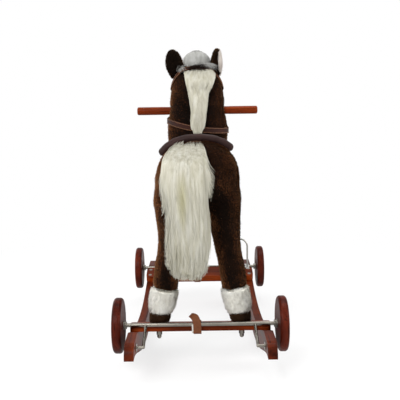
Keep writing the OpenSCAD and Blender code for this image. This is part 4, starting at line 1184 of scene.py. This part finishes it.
# The leathers hang clear of the flaps, as in the frame
LEATHER_LEN, LEATHER_T, TACK_T, LIE_GAP = 148.0, 2.4, 3.0, 0.3
RIVET_Z = torso_point(STIRRUP_Y, 0)[2]
LEATHER_X = torso_point(FLAP_REAR, 0, TACK_T)[0] + LIE_GAP + LEATHER_T / 2
BAR_Z = RIVET_Z - LEATHER_LEN
# Share of the leather's length and of its twist, from above the rivet to the loop
LEATHER_TWIST = ((-0.06, 0), (0.1, 0), (0.3, 0), (0.45, 0.17), (0.6, 0.5), (0.75, 0.83), (0.88, 1.0))
LOOP_TURNS, LOOP_R = (20, -20, -55, -90, -125, -160, -195), 3.6


def make_leather(side, twist):
    """A stirrup leather that hangs from its rivet, twists and loops round the stirrup's bar."""
    sign = 1 if side == "right" else -1
    z = np.array([0, 0, 1.0])

    def turned(part):
        t = math.radians(part * twist)
        return np.array([sign * math.cos(t), math.sin(t), 0])

    rows = [(np.array([sign * LEATHER_X, STIRRUP_Y, RIVET_Z - share * LEATHER_LEN]), turned(part))
            for share, part in LEATHER_TWIST]
    out = turned(1.0)
    bar = np.array([sign * LEATHER_X, STIRRUP_Y, BAR_Z])
    for a in map(math.radians, LOOP_TURNS):
        n = out * math.cos(a) + z * math.sin(a)
        rows.append((bar + n * LOOP_R, n))
    rows += [(bar - out * 2.6 + z * 9.0, -out), (bar - out * 2.4 + z * 22.0, -out)]
    body = f"{side}_leather_body"
    strap(f"{side}_leather_strap", rows, *LEATHER_SIZE, TACK, 110, [f"{side}_leather"], body)


make_reins()
make_bridle()
make_girth()
make_leather("right", 90.0)
make_leather("left", 0.0)

# The slats lie on the tops of the rockers, as in the frame
ROCKER_LEN, ROCKER_R, ROCKER_DEPTH = 716.0, 900.0, 44.0
SLAT_IN, SLAT_W = 143.0, 52.0
TOP_R = ROCKER_R - ROCKER_DEPTH
SLAT_TILT = math.asin((ROCKER_LEN / 2 - SLAT_IN) / TOP_R)
SEAT_R = TOP_R * math.cos(math.asin(SLAT_W / 2 / TOP_R))
STRAP_X = -6.0
# Rows of the axle straps: shift across, place along the slat's width, height over its underside, way out
STRAP_BAND = [
    (0, -10, -1.6, 0, -1), (0, 8, -1.6, 0, -1), (0, 22, -3.0, 0.1, -1), (0, 31, -4.6, 0.5, -0.9),
    (0, 35.6, -1.0, 1, -0.3), (0, 36.2, 6, 1, 0), (-0.5, 36.0, 14, 1, 0.1), (-2, 34.8, 21, 0.95, 0.35),
    (-5, 32.0, 27, 0.8, 0.55), (-9.5, 28.5, 30.5, 0.55, 0.8), (-14, 26.5, 31.5, 0.4, 0.9),
]
STRAP_LOOP = [
    (0, -10, -1.6, 0, -1), (0, -24, -1.6, -0.2, -1), (0, -27.6, 3, -1, 0), (0, -27.6, 13, -1, 0),
    (0, -24, 17.6, -0.2, 1), (0, -6, 17.6, 0, 1), (0, 14, 17.8, 0, 1), (0, 24, 19.6, -0.2, 1),
]
STRAP_INNER = [(x - 3.4, u - 1.7 * a, v - 1.7 * b, a, b) for x, u, v, a, b in STRAP_BAND[2:7]]


def slat_place(x, u, v, way):
    """A place beside a slat: u outward along its width, v up from its underside, way -1 at the rear."""
    y = (SEAT_R - v) * math.sin(SLAT_TILT) + u * math.cos(SLAT_TILT)
    z = ROCKER_R - (SEAT_R - v) * math.cos(SLAT_TILT) + u * math.sin(SLAT_TILT)
    return np.array([STRAP_X + x, way * y, z])


def slat_rows(rows, way):
    return [(slat_place(x, u, v, way), slat_place(x, u + a, v + b, way) - slat_place(x, u, v, way))
            for x, u, v, a, b in rows]


def make_axle_strap(end, way):
    """A leather band that goes round the slat and over the folded axle, with its free end curled up."""
    node = [f"{end}_strap"]
    band = strap(f"{end}_strap_band", slat_rows(STRAP_BAND, way), *AXLE_STRAP_SIZE, AXLE_STRAP, 70, node)
    strap(f"{end}_strap_loop", slat_rows(STRAP_LOOP, way), *AXLE_STRAP_SIZE, AXLE_STRAP, 60, node)
    inner = slat_rows(STRAP_INNER, way)
    lining = strap(f"{end}_strap_lining", inner, *LINING_SIZE, AXLE_STRAP_LINING, 40)
    for piece in (band, lining):
        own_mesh(piece)


make_axle_strap("rear", -1)
make_axle_strap("front", 1)


# Saddle, in millimetres and degrees round the torso

SEAT_REAR, SEAT_EDGE = -56.0, 42.0
CANTLE_LEFT, CANTLE_R, CANTLE_END = 146.0, 10.8, 0.07
CANTLE_BACK, CANTLE_OFF, CANTLE_RINGS, CANTLE_SIDES = 8.0, 11.5, 61, 22
FLAP_FRONT, FLAP_ROUND = 55.0, 0.22
FLAP_OUT, FLAP_IN = 4.4, 1.2
FLAP_ROWS, FLAP_COLS, FLAP_RIM = 26, 22, 0.12
FLAP_STITCHES, FLAP_SEAM = 150, (0.88, 0.9)
PIPING_R, PIPING_SIDES = 1.5, 8
PUFF_PRESSURE, PUFF_STIFFNESS, PUFF_FRAMES = 3.0, 25, 14


def puffed(obj, cap):
    """Swells a closed form with cloth and air pressure, no point further than the cap."""
    before, _, _ = arrays(obj.data)
    cloth = obj.modifiers.new("puff", "CLOTH")
    fabric = cloth.settings
    fabric.use_pressure = True
    fabric.uniform_pressure_force = PUFF_PRESSURE
    fabric.effector_weights.gravity = 0
    fabric.quality = 4
    fabric.tension_stiffness = PUFF_STIFFNESS
    fabric.compression_stiffness = PUFF_STIFFNESS
    cloth.collision_settings.use_collision = False
    cloth.point_cache.frame_start = 1
    cloth.point_cache.frame_end = PUFF_FRAMES
    for f in range(1, PUFF_FRAMES + 1):
        scene.frame_set(f)
    after, _, _ = arrays(after_modifiers(obj))
    obj.modifiers.clear()
    scene.frame_set(1)
    move = after - before
    size = np.linalg.norm(move, axis=1, keepdims=True)
    move *= np.minimum(1.0, cap / np.maximum(size, 1e-9))
    move_points(obj.data, before + move)


def subdivided(obj):
    obj.data = through_modifiers(obj.data.copy(), ("SUBSURF", {"levels": 1, "render_levels": 1}))
    obj.data.shade_smooth()


def cantle_roll():
    """A stuffed roll over the back of the seat, with blunt rounded ends."""
    along = np.linspace(0, 1, CANTLE_RINGS)
    sides = CANTLE_SIDES
    verts = []
    for a in along:
        t = SEAT_EDGE - 1 + (CANTLE_LEFT + 2 - SEAT_EDGE) * a
        c = torso_point(SEAT_REAR - CANTLE_BACK, t, CANTLE_OFF)
        n = unit(torso_point(SEAT_REAR - CANTLE_BACK, t, CANTLE_OFF + 1) - c)
        end = min(1.0, min(a, 1 - a) / CANTLE_END)
        r = max(CANTLE_R * math.sqrt(1 - (1 - end) ** 2), 0.6) * (1 + 0.03 * math.sin(a * 47))
        for q in np.linspace(0, 2 * math.pi, sides, endpoint=False):
            verts.append((c + n * r * 0.95 * math.cos(q) + np.array([0, 1.0, 0]) * r * math.sin(q)) * MM)
    faces = [tuple(range(sides)), tuple(len(verts) - 1 - q for q in range(sides))]
    for k in range(len(along) - 1):
        for q in range(sides):
            a, b = k * sides + q, k * sides + (q + 1) % sides
            faces.append((a, a + sides, b + sides, b))
    return smooth_mesh("saddle_cantle_roll", verts, faces, SADDLE_LEATHER)


def make_saddle():
    seat = soft_skin("saddle_seat_pad", ["saddle_seat"], SADDLE_LEATHER, *SEAT_SKIN)
    cantle = cantle_roll()
    for piece, node, cap in ((seat, "saddle_seat", 0.003), (cantle, "saddle_cantle", 0.0012)):
        puffed(piece, cap)
        subdivided(piece)
        settle(piece, [node])


def flap_point(u, v, grow):
    """A point of the right flap, whose outline bulges a little from a square of -1 to 1."""
    a, b = u * math.sqrt(1 - FLAP_ROUND * v * v), v * math.sqrt(1 - FLAP_ROUND * u * u)
    y = (FLAP_FRONT + FLAP_REAR) / 2 + a * (FLAP_FRONT - FLAP_REAR) / 2
    t = (SEAT_EDGE + FLAP_LOW) / 2 + b * (SEAT_EDGE - FLAP_LOW) / 2
    return torso_point(y, t, grow)


def flap_stitch(k, grow):
    """A point of the seam that runs round a flap inside its edge."""
    w = 2 * math.pi * k / FLAP_STITCHES
    big = max(abs(math.cos(w)), abs(math.sin(w)))
    return flap_point(math.cos(w) / big * FLAP_SEAM[0], math.sin(w) / big * FLAP_SEAM[1], grow)


def make_flaps():
    verts, faces, places, ways, ups = [], [], [], [], []
    rows, cols = FLAP_ROWS, FLAP_COLS
    wide = cols + 1
    layer = (rows + 1) * wide
    for sign in (1, -1):
        mirror = np.array([sign, 1, 1])
        turn = slice(None, None, sign)
        base = len(verts)
        for grow, thin in ((FLAP_OUT, 1.3), (FLAP_IN, -0.2)):
            for i in range(rows + 1):
                for j in range(wide):
                    u, v = 2 * j / cols - 1, 2 * i / rows - 1
                    rim = max(0.0, max(abs(u), abs(v)) - (1 - FLAP_RIM)) / FLAP_RIM
                    verts.append(flap_point(u, v, grow - thin * rim) * mirror * MM)
        for i in range(rows):
            for j in range(cols):
                q = base + i * wide + j
                cell = (q, q + 1, q + wide + 1, q + wide)[turn]
                faces += [cell, tuple(c + layer for c in cell)[::-1]]
        ring = [base + j for j in range(cols)] + [base + i * wide + cols for i in range(rows)]
        ring += [base + rows * wide + j for j in range(cols, 0, -1)]
        ring += [base + i * wide for i in range(rows, 0, -1)]
        for a, b in zip(ring, ring[1:] + ring[:1]):
            faces.append((a, a + layer, b + layer, b)[turn])
        for k in range(0, FLAP_STITCHES, 2):
            before, at, after = (flap_stitch(k + step, FLAP_OUT + 0.05) for step in (-1, 0, 1))
            places.append(at * mirror * MM)
            ways.append((after - before) * mirror)
            ups.append((flap_stitch(k, 8.0) - at) * mirror)
    settle(smooth_mesh("saddle_flap_leather", verts, faces, SADDLE_LEATHER), ["saddle_flaps"])
    sewn = stitches("saddle_flap_stitches", places, ways, ups, 0.0034, 0.0009, PALE_THREAD)
    settle(sewn)


def make_piping():
    """Round piping along the seam between the seat and the cantle."""
    arch = np.linspace(SEAT_EDGE + 2, 178 - SEAT_EDGE, 60)
    path = np.array([torso_point(SEAT_REAR + 2.5, a, 16.6) for a in arch])
    way = unit(np.gradient(path, axis=0))
    side = unit(np.cross(way, np.array([0.0, 0.0, 1.0])))
    up = np.cross(side, way)
    verts = [(path[k] + (side[k] * math.cos(t) + up[k] * math.sin(t)) * PIPING_R) * MM
             for k in range(len(path)) for t in round_angles(PIPING_SIDES)]
    faces = tube_faces(len(path), PIPING_SIDES)
    settle(smooth_mesh("saddle_cantle_piping", verts, faces, SADDLE_LEATHER))


make_saddle()
make_flaps()
make_piping()
